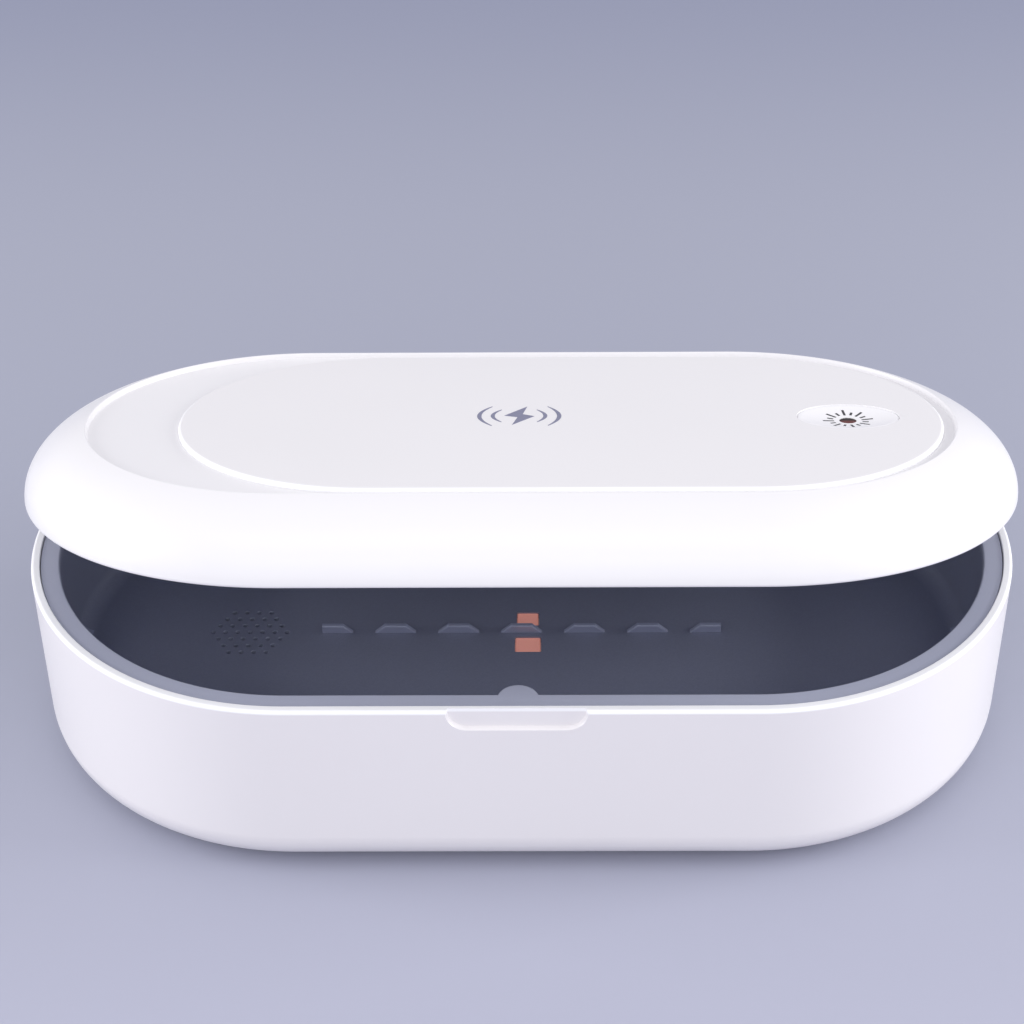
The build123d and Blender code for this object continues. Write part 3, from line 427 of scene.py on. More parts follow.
class Recipe(Graph):
    """A Geometry Nodes tree with named inputs, run once for each plain mesh that it makes."""

    def __init__(self, name, **inputs):
        super().__init__(bpy.data.node_groups.new(name, "GeometryNodeTree"))
        sockets = self.tree.interface
        sockets.new_socket("Geometry", in_out="OUTPUT", socket_type="NodeSocketGeometry")
        self.identifiers = {}
        for key, kind in {**inputs, "Material": bpy.types.Material}.items():
            made = sockets.new_socket(key, in_out="INPUT", socket_type=SOCKET_KINDS[kind])
            self.identifiers[key] = made.identifier
        given = self.tree.nodes.new("NodeGroupInput")
        self.given = {key: Wire(self, given.outputs[key]) for key in self.identifiers}

    def index(self):
        """The number of each point, from nought."""
        return self.node("GeometryNodeInputIndex")

    def vector(self, x, y, z):
        """Three numbers as one vector."""
        return self.node("ShaderNodeCombineXYZ", None, {0: x, 1: y, 2: z})

    def line(self, count):
        """That many loose points, to be put in their places."""
        sockets = {"Count": count, "Offset": (0.001, 0.0, 0.0)}
        return self.node("GeometryNodeMeshLine", None, sockets)

    def placed(self, geometry, x, y, z):
        """Put every point of a geometry at the place that three numbers give."""
        sockets = {"Geometry": geometry, "Position": self.vector(x, y, z)}
        return self.node("GeometryNodeSetPosition", None, sockets)

    def shape_of(self, key):
        """The geometry of an object that is one of the inputs."""
        return self.node("GeometryNodeObjectInfo", None, {0: self.given[key]}, "Geometry")

    def spiral(self, resolution, turns, start, end, height):
        """A spiral that winds about Z."""
        sockets = {"Resolution": resolution, "Rotations": turns, "Height": height}
        sockets |= {"Start Radius": start, "End Radius": end}
        return self.node("GeometryNodeCurveSpiral", None, sockets)

    def circle(self, resolution, radius):
        """A circle of so many points."""
        sockets = {"Resolution": resolution, "Radius": radius}
        return self.node("GeometryNodeCurvePrimitiveCircle", {"mode": "RADIUS"}, sockets)

    def carried(self, section, path, **capped):
        """Carry a section along a path with its up side kept up."""
        upright = self.node("GeometryNodeSetCurveNormal", {"mode": "Z_UP"}, {"Curve": path})
        sockets = {"Curve": upright, "Profile Curve": section, **capped}
        return self.node("GeometryNodeCurveToMesh", None, sockets)

    def result(self, geometry):
        """End the tree: realise its instances, set its material and hand it out."""
        real = self.node("GeometryNodeRealizeInstances", None, {"Geometry": geometry})
        sockets = {"Geometry": real, "Material": self.given["Material"]}
        coated = self.node("GeometryNodeSetMaterial", None, sockets)
        out = self.tree.nodes.new("NodeGroupOutput")
        self.tree.links.new(coated.socket, out.inputs[0])

    def grow(self, name, finish, **values):
        """Run the recipe with these values and keep its plain mesh."""
        holder = bpy.data.objects.new(name, bpy.data.meshes.new(name))
        collection.objects.link(holder)
        modifier = holder.modifiers.new("recipe", "NODES")
        modifier.node_group = self.tree
        for key, value in {**values, "Material": finish.material}.items():
            modifier[self.identifiers[key]] = value
        settle(holder)
        return holder


def settle(holder):
    """Replace an object's mesh by what its modifiers make of it, and clear them."""
    graph = bpy.context.evaluated_depsgraph_get()
    mesh = bpy.data.meshes.new_from_object(holder.evaluated_get(graph), depsgraph=graph)
    holder.modifiers.clear()
    old = holder.data
    holder.data = mesh
    bpy.data.meshes.remove(old)
    mesh.name = holder.name


CAPPED = {"Fill Caps": True}
print("growing class ready")


# %% [markdown]
# ## The oval rule
#
# Tub, lid, tray, liner and pad all follow one rule. Each is an oval: a straight spine with a half
# circle at either end, and every wall keeps its distance from that spine. So a shell is one flat
# section, given as distance from the spine and height, that runs round the oval. The recipe lays
# points round the oval by their number, joins them to a closed curve and lets Curve to Mesh carry
# the section along it. Because the arcs of all walls share their centres, no wall thickens in a
# bend.

# %% A section carried round an oval
oval = Recipe("oval_rule", Half_straight=float, Radius=float, Steps=int, Section=bpy.types.Object)
steps = oval.given["Steps"]
number = oval.index()
second_arc = number > steps
turn = (number - second_arc) / steps * math.pi - math.pi / 2
side = 1.0 - second_arc * 2.0
along = turn.cosine() * oval.given["Radius"] + side * oval.given["Half_straight"]
across = turn.sine() * oval.given["Radius"]
string = oval.node("GeometryNodeMeshToCurve", None, {"Mesh": oval.line(steps * 2.0 + 2.0)})
bent = oval.placed(string, along, across, 0.0)
closed = oval.node("GeometryNodeSetSplineCyclic", None, {0: bent, "Cyclic": True})
oval.result(oval.carried(oval.shape_of("Section"), closed))

spine = 49.0
arc_steps = 96


def shell(name, finish, section, half_straight=spine, middle=0.0):
    """Run a section of (distance from the spine, height) round an oval and cap its open ends."""
    radius = max(distance for distance, _ in section)
    curve = bpy.data.curves.new("section", "CURVE")
    spline = curve.splines.new("POLY")
    spline.points.add(len(section) - 1)
    for point, (distance, height) in zip(spline.points, section):
        point.co = (distance - radius, -height, 0, 1)
    holder = bpy.data.objects.new("section", curve)
    collection.objects.link(holder)
    sizes = {"Half_straight": half_straight, "Radius": radius, "Steps": arc_steps}
    piece = oval.grow(name, finish, Section=holder, **sizes)
    bpy.data.objects.remove(holder)
    bpy.data.curves.remove(curve)
    piece.data.transform(Matrix.Translation((middle, 0, 0)))
    seal(piece)
    return piece


def seal(piece):
    """Cap open ends and turn every face outwards."""
    work = bmesh.new()
    work.from_mesh(piece.data)
    bmesh.ops.remove_doubles(work, verts=work.verts, dist=0.0005)
    bmesh.ops.holes_fill(work, edges=[edge for edge in work.edges if edge.is_boundary], sides=0)
    bmesh.ops.recalc_face_normals(work, faces=work.faces)
    work.to_mesh(piece.data)
    work.free()


print("the oval rule has", len(oval.tree.nodes), "nodes")


# %% [markdown]
# Sections are drawn as a draughtsman would, corner by corner, with a radius at the corners that
# are rounded. A helper swaps each such corner for an arc that is tangent to both of its sides.

# %% Rounded sections
def rounded(corners, per_arc_degrees=7.5):
    """Turn corners of (distance, height, radius) into points, with arcs at the rounded ones."""
    points = []
    for place, (x, z, radius) in enumerate(corners):
        if not radius:
            points.append((x, z))
            continue
        here = Vector((x, z))
        before = (Vector(corners[place - 1][:2]) - here).normalized()
        after = (Vector(corners[place + 1][:2]) - here).normalized()
        half = before.angle(after) / 2
        centre = here + (before + after).normalized() * (radius / math.sin(half))
        reach = radius / math.tan(half)
        first = here + before * reach - centre
        last = here + after * reach - centre
        swing = math.atan2(first.x * last.y - first.y * last.x, first.dot(last))
        parts = max(2, math.ceil(abs(math.degrees(swing)) / per_arc_degrees))
        start = math.atan2(first.y, first.x)
        for part in range(parts + 1):
            bearing = start + swing * part / parts
            x, y = radius * math.cos(bearing), radius * math.sin(bearing)
            points.append((centre.x + x, centre.y + y))
    return points


def taper(distance, degrees, drop):
    """How far from the spine a leaning wall stands after a drop."""
    return distance - math.tan(math.radians(degrees)) * drop


print("a quarter arc has", len(rounded([(0, 0, 0), (0, 9, 3), (9, 9, 0)])) - 2, "points")


# %% [markdown]
# ## Cutters
#
# Holes, notches and barrels are cut or joined by booleans, because that is how they meet the shell
# on the real tool: a core pin passes straight through the wall. A prism carries one outline along
# an axis. A stack joins layers of any outline, so a cutter can step or flare, which gives its hole
# a softened mouth.

# %% Prisms, discs and booleans
def ring(radius, count, middle=(0.0, 0.0), other=None):
    """Points of a circle, or of an ellipse with another radius."""
    other = other or radius
    bearings = [2 * math.pi * step / count for step in range(count)]
    return [(middle[0] + radius * math.cos(b), middle[1] + other * math.sin(b)) for b in bearings]


def box(x, y, width, depth):
    """Corners of a rectangle round a middle."""
    corners = ((-1, -1), (1, -1), (1, 1), (-1, 1))
    return [(x + sx * width / 2, y + sy * depth / 2) for sx, sy in corners]


def stacked(layers):
    """A closed solid from layers of as many points each, first to last."""
    count = len(layers[0])
    points = [point for layer in layers for point in layer]
    faces = [tuple(range(count)), tuple(range(len(points) - count, len(points)))]
    for level in range(len(layers) - 1):
        for step in range(count):
            after = (step + 1) % count
            low, high = level * count, (level + 1) * count
            faces.append((low + step, low + after, high + after, high + step))
    return points, faces


def prism(outline, axis, start, end):
    """An outline carried along an axis from one level to another."""
    lay = {
        "X": lambda first, second, level: (level, first, second),
        "Y": lambda first, second, level: (first, level, second),
        "Z": lambda first, second, level: (first, second, level),
    }[axis]
    return stacked([[lay(*point, level) for point in outline] for level in (start, end)])


def bored(spot, count, *levels, along="Z"):
    """A stepped round solid or cutter, from (radius, level) pairs along an axis."""
    layers = []
    for radius, level in levels:
        circle = ring(radius, count, spot)
        layers.append([(*point, level) if along == "Z" else (level, *point) for point in circle])
    return stacked(layers)


def ladder(outline_at, levels):
    """A closed solid from an outline that depends on its inset, at (inset, height) levels."""
    return stacked([[(x, y, height) for x, y in outline_at(inset)] for inset, height in levels])


def tube(points_and_faces, count):
    """Join the last layer of a stack to its first, in place of its two end faces."""
    points, faces = points_and_faces
    last = len(points) - count
    steps = [(step, (step + 1) % count) for step in range(count)]
    return points, faces[2:] + [(one, last + one, last + two, two) for one, two in steps]


def solid(name, finish, *parts):
    """One mesh piece from closed parts, its faces turned outwards."""
    points, faces = [], []
    for part_points, part_faces in parts:
        offset = len(points)
        points += part_points
        faces += [tuple(corner + offset for corner in face) for face in part_faces]
    mesh = bpy.data.meshes.new(name)
    mesh.from_pydata(points, [], faces)
    work = bmesh.new()
    work.from_mesh(mesh)
    bmesh.ops.recalc_face_normals(work, faces=work.faces)
    work.to_mesh(mesh)
    work.free()
    mesh.materials.append(finish.material)
    piece = bpy.data.objects.new(name, mesh)
    collection.objects.link(piece)
    return piece


def combine(piece, operation, *parts):
    """Cut closed parts out of a piece, or join them to it, one after the other."""
    for part in parts:
        tool = part if isinstance(part, bpy.types.Object) else solid("tool", shell_white, part)
        tool.data.materials.clear()
        tool.data.materials.append(piece.data.materials[0])
        modifier = piece.modifiers.new("boolean", "BOOLEAN")
        modifier.operation = operation
        modifier.solver = "MANIFOLD"
        modifier.object = tool
        settle(piece)
        forget(tool)


def forget(piece):
    """Remove an object and its mesh."""
    mesh = piece.data
    bpy.data.objects.remove(piece)
    bpy.data.meshes.remove(mesh)


def open_edges(piece):
    """How many edges of a mesh don't have exactly two faces."""
    work = bmesh.new()
    work.from_mesh(piece.data)
    loose = sum(1 for edge in work.edges if len(edge.link_faces) != 2)
    work.free()
    return loose


print("cutters ready")


# %% [markdown]
# Pieces are drawn with the lid shut. Whatever belongs to the lid is then swung about the hinge to
# where it rests, ajar, which is the one turn that the measured model made too. The last steps are
# the same for every piece: scale to metres, shade smooth but for true edges, hang it on the body
# that it rides on, and hide the measured nodes that it stands for. Those nodes get the same finish.
# Normals are weighted by area, so that a large flat face stays flat up to its rounded border.

# %% Finish a piece
to_hinge = Matrix.Translation(hinge)
lid_ajar = to_hinge @ Matrix.Rotation(-ajar, 4, "X") @ to_hinge.inverted()
TURNS = {"base": Matrix.Identity(4), "lid": lid_ajar, "key": lid_ajar}
SHARP = math.radians(32.0)


def deliver(piece, body, slot, *replaced):
    """Swing, scale and shade a piece, hang it on its body, and hide and refinish the nodes it
    replaces.
    """
    piece.data.transform(Matrix.Scale(mm, 4) @ TURNS[body])
    piece.data.shade_smooth()
    piece.data.set_sharp_from_angle(angle=SHARP)
    evened = piece.modifiers.new("evened", "WEIGHTED_NORMAL")
    evened.keep_sharp = True
    settle(piece)
    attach(piece, body)
    if replaced:
        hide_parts(*replaced)
    for name in replaced:
        nodes[name].data.materials.clear()
        nodes[name].data.materials.append(piece.data.materials[0])
    print(piece.name, "faces:", len(piece.data.polygons), "open edges:", open_edges(piece))


# %% [markdown]
# ## Base tub
#
# The tub is a white cup with a wall that leans in by one degree, so that it leaves its mould, and
# a generous radius at the foot. Near the rim the inside steps out to a thin lip, and the tray
# hangs on that step. Everything but the local features is the oval rule, so the whole tub is one
# section: up the inside, over the rim, down the outside.

# %% Section of the tub
rim_radius, rim_height, stand = 61.0, 46.0, 1.0
floor_height, seat_height = 3.4, 43.7
lip_wall, tub_wall = 2.0, 2.6
draft = 1.0
flat_start = 22.0
inner_top = taper(rim_radius, draft, rim_height - seat_height) - tub_wall

tub_section = rounded(
    [
        (flat_start, floor_height, 0),
        (taper(inner_top, draft, seat_height - floor_height), floor_height, 7.4),
        (inner_top, seat_height, 0),
        (rim_radius - lip_wall, seat_height, 0),
        (rim_radius - lip_wall, rim_height, 0.2),
        (rim_radius, rim_height, 0.8),
        (taper(rim_radius, draft, rim_height - stand), stand, 10.0),
        (flat_start, stand, 0),
    ]
)
tub = shell("base_tub", tub_white, tub_section)
print("tub section points:", len(tub_section))

# %% [markdown]
# The front has a thumb scoop that flares outwards, so a nail finds the lid's edge. At the back a
# long round cove takes the hinge, with three knuckles that stay with the tub, and below it lies
# the mouth of the power socket. Underneath are four recesses for the feet.

# %% Scoop, cove and socket mouth
cove_radius, barrel, hinge_end, cove_end = 3.0, 2.7, 36.0, 36.4
hinge_middle = (hinge.y, hinge.z)


def oval_outline(half_straight, radius, middle=(0.0, 0.0), count=64):
    """Points of a flat oval: two half rounds and two straights."""
    points = []
    for end in (1, -1):
        for step in range(count + 1):
            bearing = -math.pi / 2 * end + math.pi * step / count
            x, y = end * half_straight + radius * math.cos(bearing), radius * math.sin(bearing)
            points.append((middle[0] + x, middle[1] + y))
    return points


def rounded_box(width, height, radius, middle=(0.0, 0.0), count=10):
    """Points of a rectangle with rounded corners."""
    points = []
    for quarter, (sx, sy) in enumerate(((1, 1), (-1, 1), (-1, -1), (1, -1))):
        for step in range(count + 1):
            bearing = math.pi / 2 * (quarter + step / count)
            x = sx * (width / 2 - radius) + radius * math.cos(bearing)
            y = sy * (height / 2 - radius) + radius * math.sin(bearing)
            points.append((middle[0] + x, middle[1] + y))
    return points


scoop_width, scoop_height, scoop_depth, scoop_corner = 28.5, 4.7, 1.1, 4.0
scoop_middle = (-0.8, rim_height)
scoop_bottom = -(rim_radius - scoop_depth)
scoop_layers = []
for forward, flare in ((0.0, 0.0), (0.6, 0.10), (1.1, 0.45), (3.0, 1.8)):
    width, height = scoop_width + 2 * flare, 2 * (scoop_height + flare)
    outline = rounded_box(width, height, scoop_corner + flare, scoop_middle)
    scoop_layers.append([(x, scoop_bottom - forward, z) for x, z in outline])
socket_height, mouth_half_straight, mouth_radius = 9.6, 2.87, 1.9
mouth = oval_outline(mouth_half_straight, mouth_radius, (0.0, socket_height), 16)
cove = prism(ring(cove_radius, 48, hinge_middle), "X", -cove_end, cove_end)
through_back_wall = (52.0, 62.0)
combine(tub, "DIFFERENCE", stacked(scoop_layers), cove, prism(mouth, "Y", *through_back_wall))
print("tub cut, faces:", len(tub.data.polygons))

# %% [markdown]
# A knuckle is a barrel on the hinge axis with a web that ties it to its shell. Drawing barrel and
# web as one outline keeps the boolean simple: the upper half round, then the corners of the web.

# %% Knuckles, bosses and foot recesses
def about_hinge(bearings, extra):
    """Points of a barrel between bearings in degrees, then extra corners, as (y, z)."""
    turns = [math.radians(b) for b in bearings]
    points = [(barrel * math.cos(t), barrel * math.sin(t)) for t in turns] + extra
    return beside_hinge(points)


def beside_hinge(points):
    """Points measured from the hinge axis, as (y, z) of the box."""
    return [(hinge.y + y, hinge.z + z) for y, z in points]


def crossed(xs, ys, middle=(0.0, 0.0)):
    """Every pair of an x and a y, measured from a middle."""
    return [(middle[0] + x, middle[1] + y) for x in xs for y in ys]


tub_web = [(-2.7, -2.7), (-2.2, -8.0), (0.15, -8.0), (2.7, -1.35)]
tub_knuckle = about_hinge(range(0, 181, 10), tub_web)
foot_points = crossed((-70.0, 70.0), (-32.0, 32.0))
main_board = (0.0, 33.737)
standoff_points = crossed((-37.0, 37.0), (-15.0, 15.0), main_board)
outer_knuckle, middle_knuckle = 24.0, 8.0
boss_foot, boss_radius, boss_top = 3.0, 4.2, 8.0
standoff_radius, standoff_top = 2.6, 6.6
combine(
    tub,
    "UNION",
    prism(tub_knuckle, "X", -hinge_end, -outer_knuckle),
    prism(tub_knuckle, "X", -middle_knuckle, middle_knuckle),
    prism(tub_knuckle, "X", outer_knuckle, hinge_end),
    *[prism(ring(boss_radius, 32, spot), "Z", boss_foot, boss_top) for spot in foot_points],
    *[
        prism(ring(standoff_radius, 24, spot), "Z", boss_foot, standoff_top)
        for spot in standoff_points
    ],
)

foot_bore = [(7.0, 0.5), (6.9, 1.0), (6.7, 1.2), (6.7, 2.0)]
foot_bore += [(2.55, 2.0), (2.55, 4.05), (1.5, 4.05), (1.5, 9.0)]
lead_slit = [(-4.7, -10), (-1.55, -10), (-1.55, -6), (1.15, -1.15)]
lead_slit += [(1.15, 1.15), (-1.15, 1.15), (-4.7, -2)]
pin_bore, lead_bore, bush_bore = 1.02, 1.15, 1.6
pin_end, pin_start = 35.0, 23.0
combine(
    tub,
    "DIFFERENCE",
    *[bored(spot, 32, *foot_bore) for spot in foot_points],
    prism(ring(pin_bore, 20, hinge_middle), "X", -pin_end, -pin_start),
    prism(ring(pin_bore, 20, hinge_middle), "X", pin_start, pin_end),
    prism(ring(lead_bore, 20, hinge_middle), "X", -2.0, 9.0),
    prism(beside_hinge(lead_slit), "X", -3.15, -0.1),
)
deliver(tub, "base", "shell_white", "base_shell")

# %% [markdown]
# ## Lid shell
#
# The lid is a low dome. Its nose is a quarter of an ellipse, 25 mm deep and 16 mm high, and the
# dome is cut off by a sunken deck, which leaves a soft crest all round. Inside, the same ellipse
# runs parallel at the thickness of the wall. Light gathers on that nose, so its section gets many
# points, while the flat deck needs only its edges.

# %% Section of the lid
lid_radius, lid_wall, lid_bottom = 60.5, 2.2, 46.4
nose_reach, nose_rise, nose_height = 25.4, 16.1, 47.2
deck_height, deck_radius, deck_lean = 60.3, 46.1, 12.0
lid_lip = 0.7
nose_centre = lid_radius - nose_reach


def nose(inset, low_share, high_share, count):
    """Points of the nose's ellipse, as shares of its quarter turn."""
    points = []
    for step in range(count + 1):
        bearing = math.pi / 2 * (low_share + (high_share - low_share) * step / count)
        distance = nose_centre + (nose_reach - inset) * math.cos(bearing)
        points.append((distance, nose_height + (nose_rise - inset) * math.sin(bearing)))
    return points


crest_distance = deck_radius + math.tan(math.radians(deck_lean)) * 1.36
crest_share = math.acos((crest_distance - nose_centre) / nose_reach) / (math.pi / 2)
ceiling_height = deck_height - lid_wall
ceiling_share = math.asin((ceiling_height - nose_height) / (nose_rise - lid_wall)) / (math.pi / 2)
crest_height = nose(0.0, crest_share, crest_share, 1)[0][1]
outside = nose(0.0, 0.0, crest_share, 30)
inside = nose(lid_wall, 0.0, ceiling_share, 16)
lid_section = (
    rounded(
        [
            (flat_start, deck_height, 0),
            (deck_radius, deck_height, 0.25),
            (crest_distance, crest_height, 0.30),
            (*outside[-2], 0),
        ],
        15.0,
    )
    + outside[-3:0:-1]
    + rounded(
        [
            (*outside[0], 0),
            (lid_radius, lid_bottom, lid_lip),
            (lid_radius - lid_wall, lid_bottom, 0.3),
            (*inside[0], 0),
        ],
        11.25,
    )
    + inside[1:]
    + [(flat_start, ceiling_height)]
)
lid = shell("lid_shell_piece", shell_white, lid_section)
print("lid section points:", len(lid_section), "crest at", round(crest_height, 2))

# %% [markdown]
# The deck holds the pocket of the charging pad and the oval well of the key. At the back the lid
# has its own two knuckles, bored for the bushes, and under the deck stand four screw bosses.

# %% Pocket, well, cove and knuckles of the lid
pad_middle, pad_half_straight, pad_radius, pad_fit = 8.8, 40.2, 43.8, 0.05
key_middle, key_half_length, key_half_width, key_fit = 72.2, 11.0, 7.8, 0.25
lid_screw_points = crossed((-71.5, 71.5), (-30.0, 30.0))
screw_bore, lid_boss_radius, lid_boss_low, lid_boss_high = 1.3, 3.0, 52.35, 58.4
pocket_floor, well_floor, above_lid = 59.5, 57.0, 62.5


def key_outline(grow):
    """The key's ellipse, grown by a distance."""
    return ring(key_half_length + grow, 96, (key_middle, 0.0), key_half_width + grow)


pocket = oval_outline(pad_half_straight, pad_radius + pad_fit, (pad_middle, 0.0))
combine(lid, "DIFFERENCE", cove)
lid_knuckle = about_hinge(range(60, -181, -10), [(-2.7, 6.0), (-1.35, 6.0)])
knuckle_inner, knuckle_outer, step_at = 8.4, 23.6, 15.2
combine(
    lid,
    "UNION",
    prism(lid_knuckle, "X", -knuckle_outer, -knuckle_inner),
    prism(lid_knuckle, "X", knuckle_inner, knuckle_outer),
    *[
        prism(ring(lid_boss_radius, 32, spot), "Z", lid_boss_low, lid_boss_high)
        for spot in lid_screw_points
    ],
)
stepped = [(lead_bore, 8.0), (lead_bore, step_at), (bush_bore, step_at), (bush_bore, 24.0)]
combine(
    lid,
    "DIFFERENCE",
    bored(hinge_middle, 24, (bush_bore, -24.0), (bush_bore, -step_at), along="X"),
    bored(hinge_middle, 24, *stepped, along="X"),
    *[bored(spot, 20, (screw_bore, 51.5), (screw_bore, 58.05)) for spot in lid_screw_points],
)
lid_slit = [(-1.2, -1.2), (1.2, -1.2), (1.2, 1.2), (-1.35, 4.7), (-4.7, 4.7), (-4.7, 1.2)]
combine(
    lid,
    "DIFFERENCE",
    prism(pocket, "Z", pocket_floor, above_lid),
    prism(key_outline(key_fit), "Z", well_floor, above_lid),
    prism(beside_hinge(lid_slit), "X", 8.7, 11.75),
)
deliver(lid, "lid", "shell_white", "lid_shell")

# %% [markdown]
# ## Charging pad
#
# A phone is laid on this thin oval plate. It stands 1.1 mm proud of the deck with a broad rounded
# edge, which catches the light as a bright line along its front. It is the oval rule again, on a
# shorter spine, with the well of the key cut through it. The cutter flares at the top so that the
# mouth of the well is softened too.

# %% Charging pad
pad_top, pad_bottom, pad_edge = 61.4, 59.55, 0.9
pad_section = rounded(
    [
        (flat_start, pad_top, 0),
        (pad_radius, pad_top, pad_edge),
        (pad_radius, pad_bottom, 0.15),
        (flat_start, pad_bottom, 0),
    ]
)
pad = shell("charging_plate", pad_white, pad_section, pad_half_straight, pad_middle)
well_levels = [(0.0, 59.0), (0.0, 61.28), (0.05, 61.37), (0.14, 61.42), (0.5, 61.7)]
combine(pad, "DIFFERENCE", ladder(lambda grow: key_outline(key_fit + grow), well_levels))
deliver(pad, "lid", "pad_white", "charging_pad")

# %% [markdown]
# ## Power key
#
# The key is an oval cap with a shallow dish for the fingertip and a round light window in its
# middle. Its rings change from a circle at the window to an ellipse at the rim, so it is lofted
# from rings rather than turned. Below the deck it has a flange that keeps it in and a stem that
# presses the switch.

# %% Power key
key_top, dish_depth, dish_lip = 61.25, 0.9, 0.5
dish_sag = 0.10
flange_low, flange_high, flange_reach = 56.9, 57.9, 1.3
window_hole = 1.9
dish_long, dish_wide = key_half_length - dish_lip, key_half_width - dish_lip


def dish_height(x, y):
    """Height of the dish at a place measured from the key's middle."""
    share = min(1.0, (x / dish_long) ** 2 + (y / dish_wide) ** 2)
    return key_top - dish_depth * (1 - share) - dish_sag * share * (1 - share)


def key_layer(share):
    """A ring of the dish, from the window's circle at 0 to the rim of the dish at 1."""
    layer = []
    for x, y in ring(1.0, 96):
        spot_x = x * (window_hole + (dish_long - window_hole) * share)
        spot_y = y * (window_hole + (dish_wide - window_hole) * share)
        layer.append((key_middle + spot_x, spot_y, dish_height(spot_x, spot_y)))
    return layer


def key_ring(grow, height):
    """A ring parallel to the key's outline, at a height."""
    return [(x, y, height) for x, y in key_outline(grow)]


hole_ring = [(key_middle + x, y, flange_low) for x, y in ring(window_hole, 96)]
key_layers = [hole_ring] + [key_layer(step / 16) for step in range(17)]
rim_drops = [(-0.10, 0.0), (0.04, 0.015), (0.12, 0.05), (0.16, 0.14), (0.16, 1.65)]
key_layers += [key_ring(grow, key_top - drop) for grow, drop in rim_drops]
flange = [(0.0, flange_high), (flange_reach, flange_high), (flange_reach, flange_low)]
key_layers += [key_ring(grow, height) for grow, height in flange]
key = solid("key_cap", key_white, tube(stacked(key_layers), len(hole_ring)))
stem_spot, stem_radius, stem_low, stem_high = (key_middle - 7.0, 0.0), 2.2, 56.25, 57.2
combine(key, "UNION", prism(ring(stem_radius, 32, stem_spot), "Z", stem_low, stem_high))
deliver(key, "key", "key_white", "power_key")


# %% [markdown]
# ## Inner tray
#
# The slate tray is one moulding that hangs on the tub's seat by its ledge. It is the oval rule once
# more, with a wall that leans three degrees and a wide radius at the floor. At the front a half
# round lobe climbs the wall to the ledge; it hides the sensor that feels the lid shut. The ledge
# stops short of the hinge at the back.

# %% Tray with its lobe
ledge_height, ledge_under, tray_floor, tray_under = 45.4, 43.8, 19.3, 17.7
ledge_outside = 58.85
mouth_inside, floor_inside, mouth_outside, floor_outside = 54.65, 53.28, 56.17, 54.80
tray_section = rounded(
    [
        (flat_start, tray_floor, 0),
        (floor_inside, tray_floor, 4.0),
        (mouth_inside, ledge_height, 0.4),
        (ledge_outside, ledge_height, 0.15),
        (ledge_outside, ledge_under, 0),
        (mouth_outside, ledge_under, 0),
        (floor_outside, tray_under, 5.6),
        (flat_start, tray_under, 0),
    ]
)
tray = shell("slate_tray", tray_slate, tray_section)
lobe_radius, hollow_radius, lobe_x, lobe_y, lobe_back = 4.35, 3.2, -0.5, -55.75, -0.5


def lobe_arc(radius, trim, count):
    """A half circle towards the box's middle, its ends trimmed by an angle."""
    bearings = np.linspace(trim, math.pi - trim, count)
    return [(lobe_x + radius * math.cos(b), lobe_y + radius * math.sin(b)) for b in bearings]


def half_round(inset):
    """An outline of the lobe: its half circle, squared off at its back."""
    radius = lobe_radius - inset
    back = [(lobe_x - radius, lobe_y + lobe_back), (lobe_x + radius, lobe_y + lobe_back)]
    return lobe_arc(radius, 0.0, 41) + back


lobe_drops = [(0.0, 0.4), (0.03, 0.25), (0.12, 0.12), (0.24, 0.04), (0.4, 0.0)]
lobe_levels = [(0.0, tray_under)] + [(inset, ledge_height - drop) for inset, drop in lobe_drops]
post_radius, post_low, post_high, bore_end = 3.4, 8.05, 18.1, 17.9
posts = [bored(spot, 32, (post_radius, post_low), (post_radius, post_high)) for spot in foot_points]
combine(tray, "UNION", ladder(half_round, lobe_levels), *posts)
hinge_notch_width, hinge_notch_depth, hinge_notch_y = 73.1, 5.9, 60.0
notch = prism(box(0.0, hinge_notch_y, hinge_notch_width, hinge_notch_depth), "Z", 42.0, 47.0)
lobe_ceiling = ledge_height - 1.4
hollow = prism(lobe_arc(hollow_radius, 0.05, 33), "Z", tray_under - 1.7, lobe_ceiling)
post_bore = [(screw_bore, post_low - 1.05), (screw_bore, bore_end)]
post_bores = [bored(spot, 20, *post_bore) for spot in foot_points]
combine(tray, "DIFFERENCE", notch, hollow, *post_bores)
print("tray with its lobe, faces:", len(tray.data.polygons))

# %% [markdown]
# The vent over the scent cup is a hexagon of 37 holes, and along the middle of the floor stands a
# comb of seven low teeth that keeps a phone off the lamps. Both are a part repeated on a lattice,
# so one recipe serves them, and the lamps and chip legs later: it numbers the points, works out the
# row and the column of each, and slants the rows where the lattice is hexagonal. A limit on row
# plus column cuts a slanted lattice back to its hexagon.

# %% A recipe that sets a part on a lattice
lattice = Recipe(
    "part_on_lattice",
    Part=bpy.types.Object,
    Columns=int,
    Rows=int,
    Pitch_x=float,
    Pitch_y=float,
    Slant=float,
    Limit=float,
)
columns, rows = lattice.given["Columns"], lattice.given["Rows"]
count = lattice.index()
row_number = (count / columns).join("FLOOR", count / columns)
column_number = count % columns
from_column = column_number - (columns - 1.0) / 2.0
from_row = row_number - (rows - 1.0) / 2.0
spot_x = from_column * lattice.given["Pitch_x"] + from_row * lattice.given["Slant"]
spot_y = from_row * lattice.given["Pitch_y"]
lattice_points = lattice.placed(lattice.line(columns * rows), spot_x, spot_y, 0.0)
beyond = from_column + from_row
wanted = beyond.join("ABSOLUTE", beyond) < lattice.given["Limit"]
sockets = {"Points": lattice_points, "Selection": wanted, "Instance": lattice.shape_of("Part")}
lattice.result(lattice.node("GeometryNodeInstanceOnPoints", None, sockets))
ONE_ROW = {"Rows": 1, "Pitch_y": 0.0, "Slant": 0.0, "Limit": 1000.0}


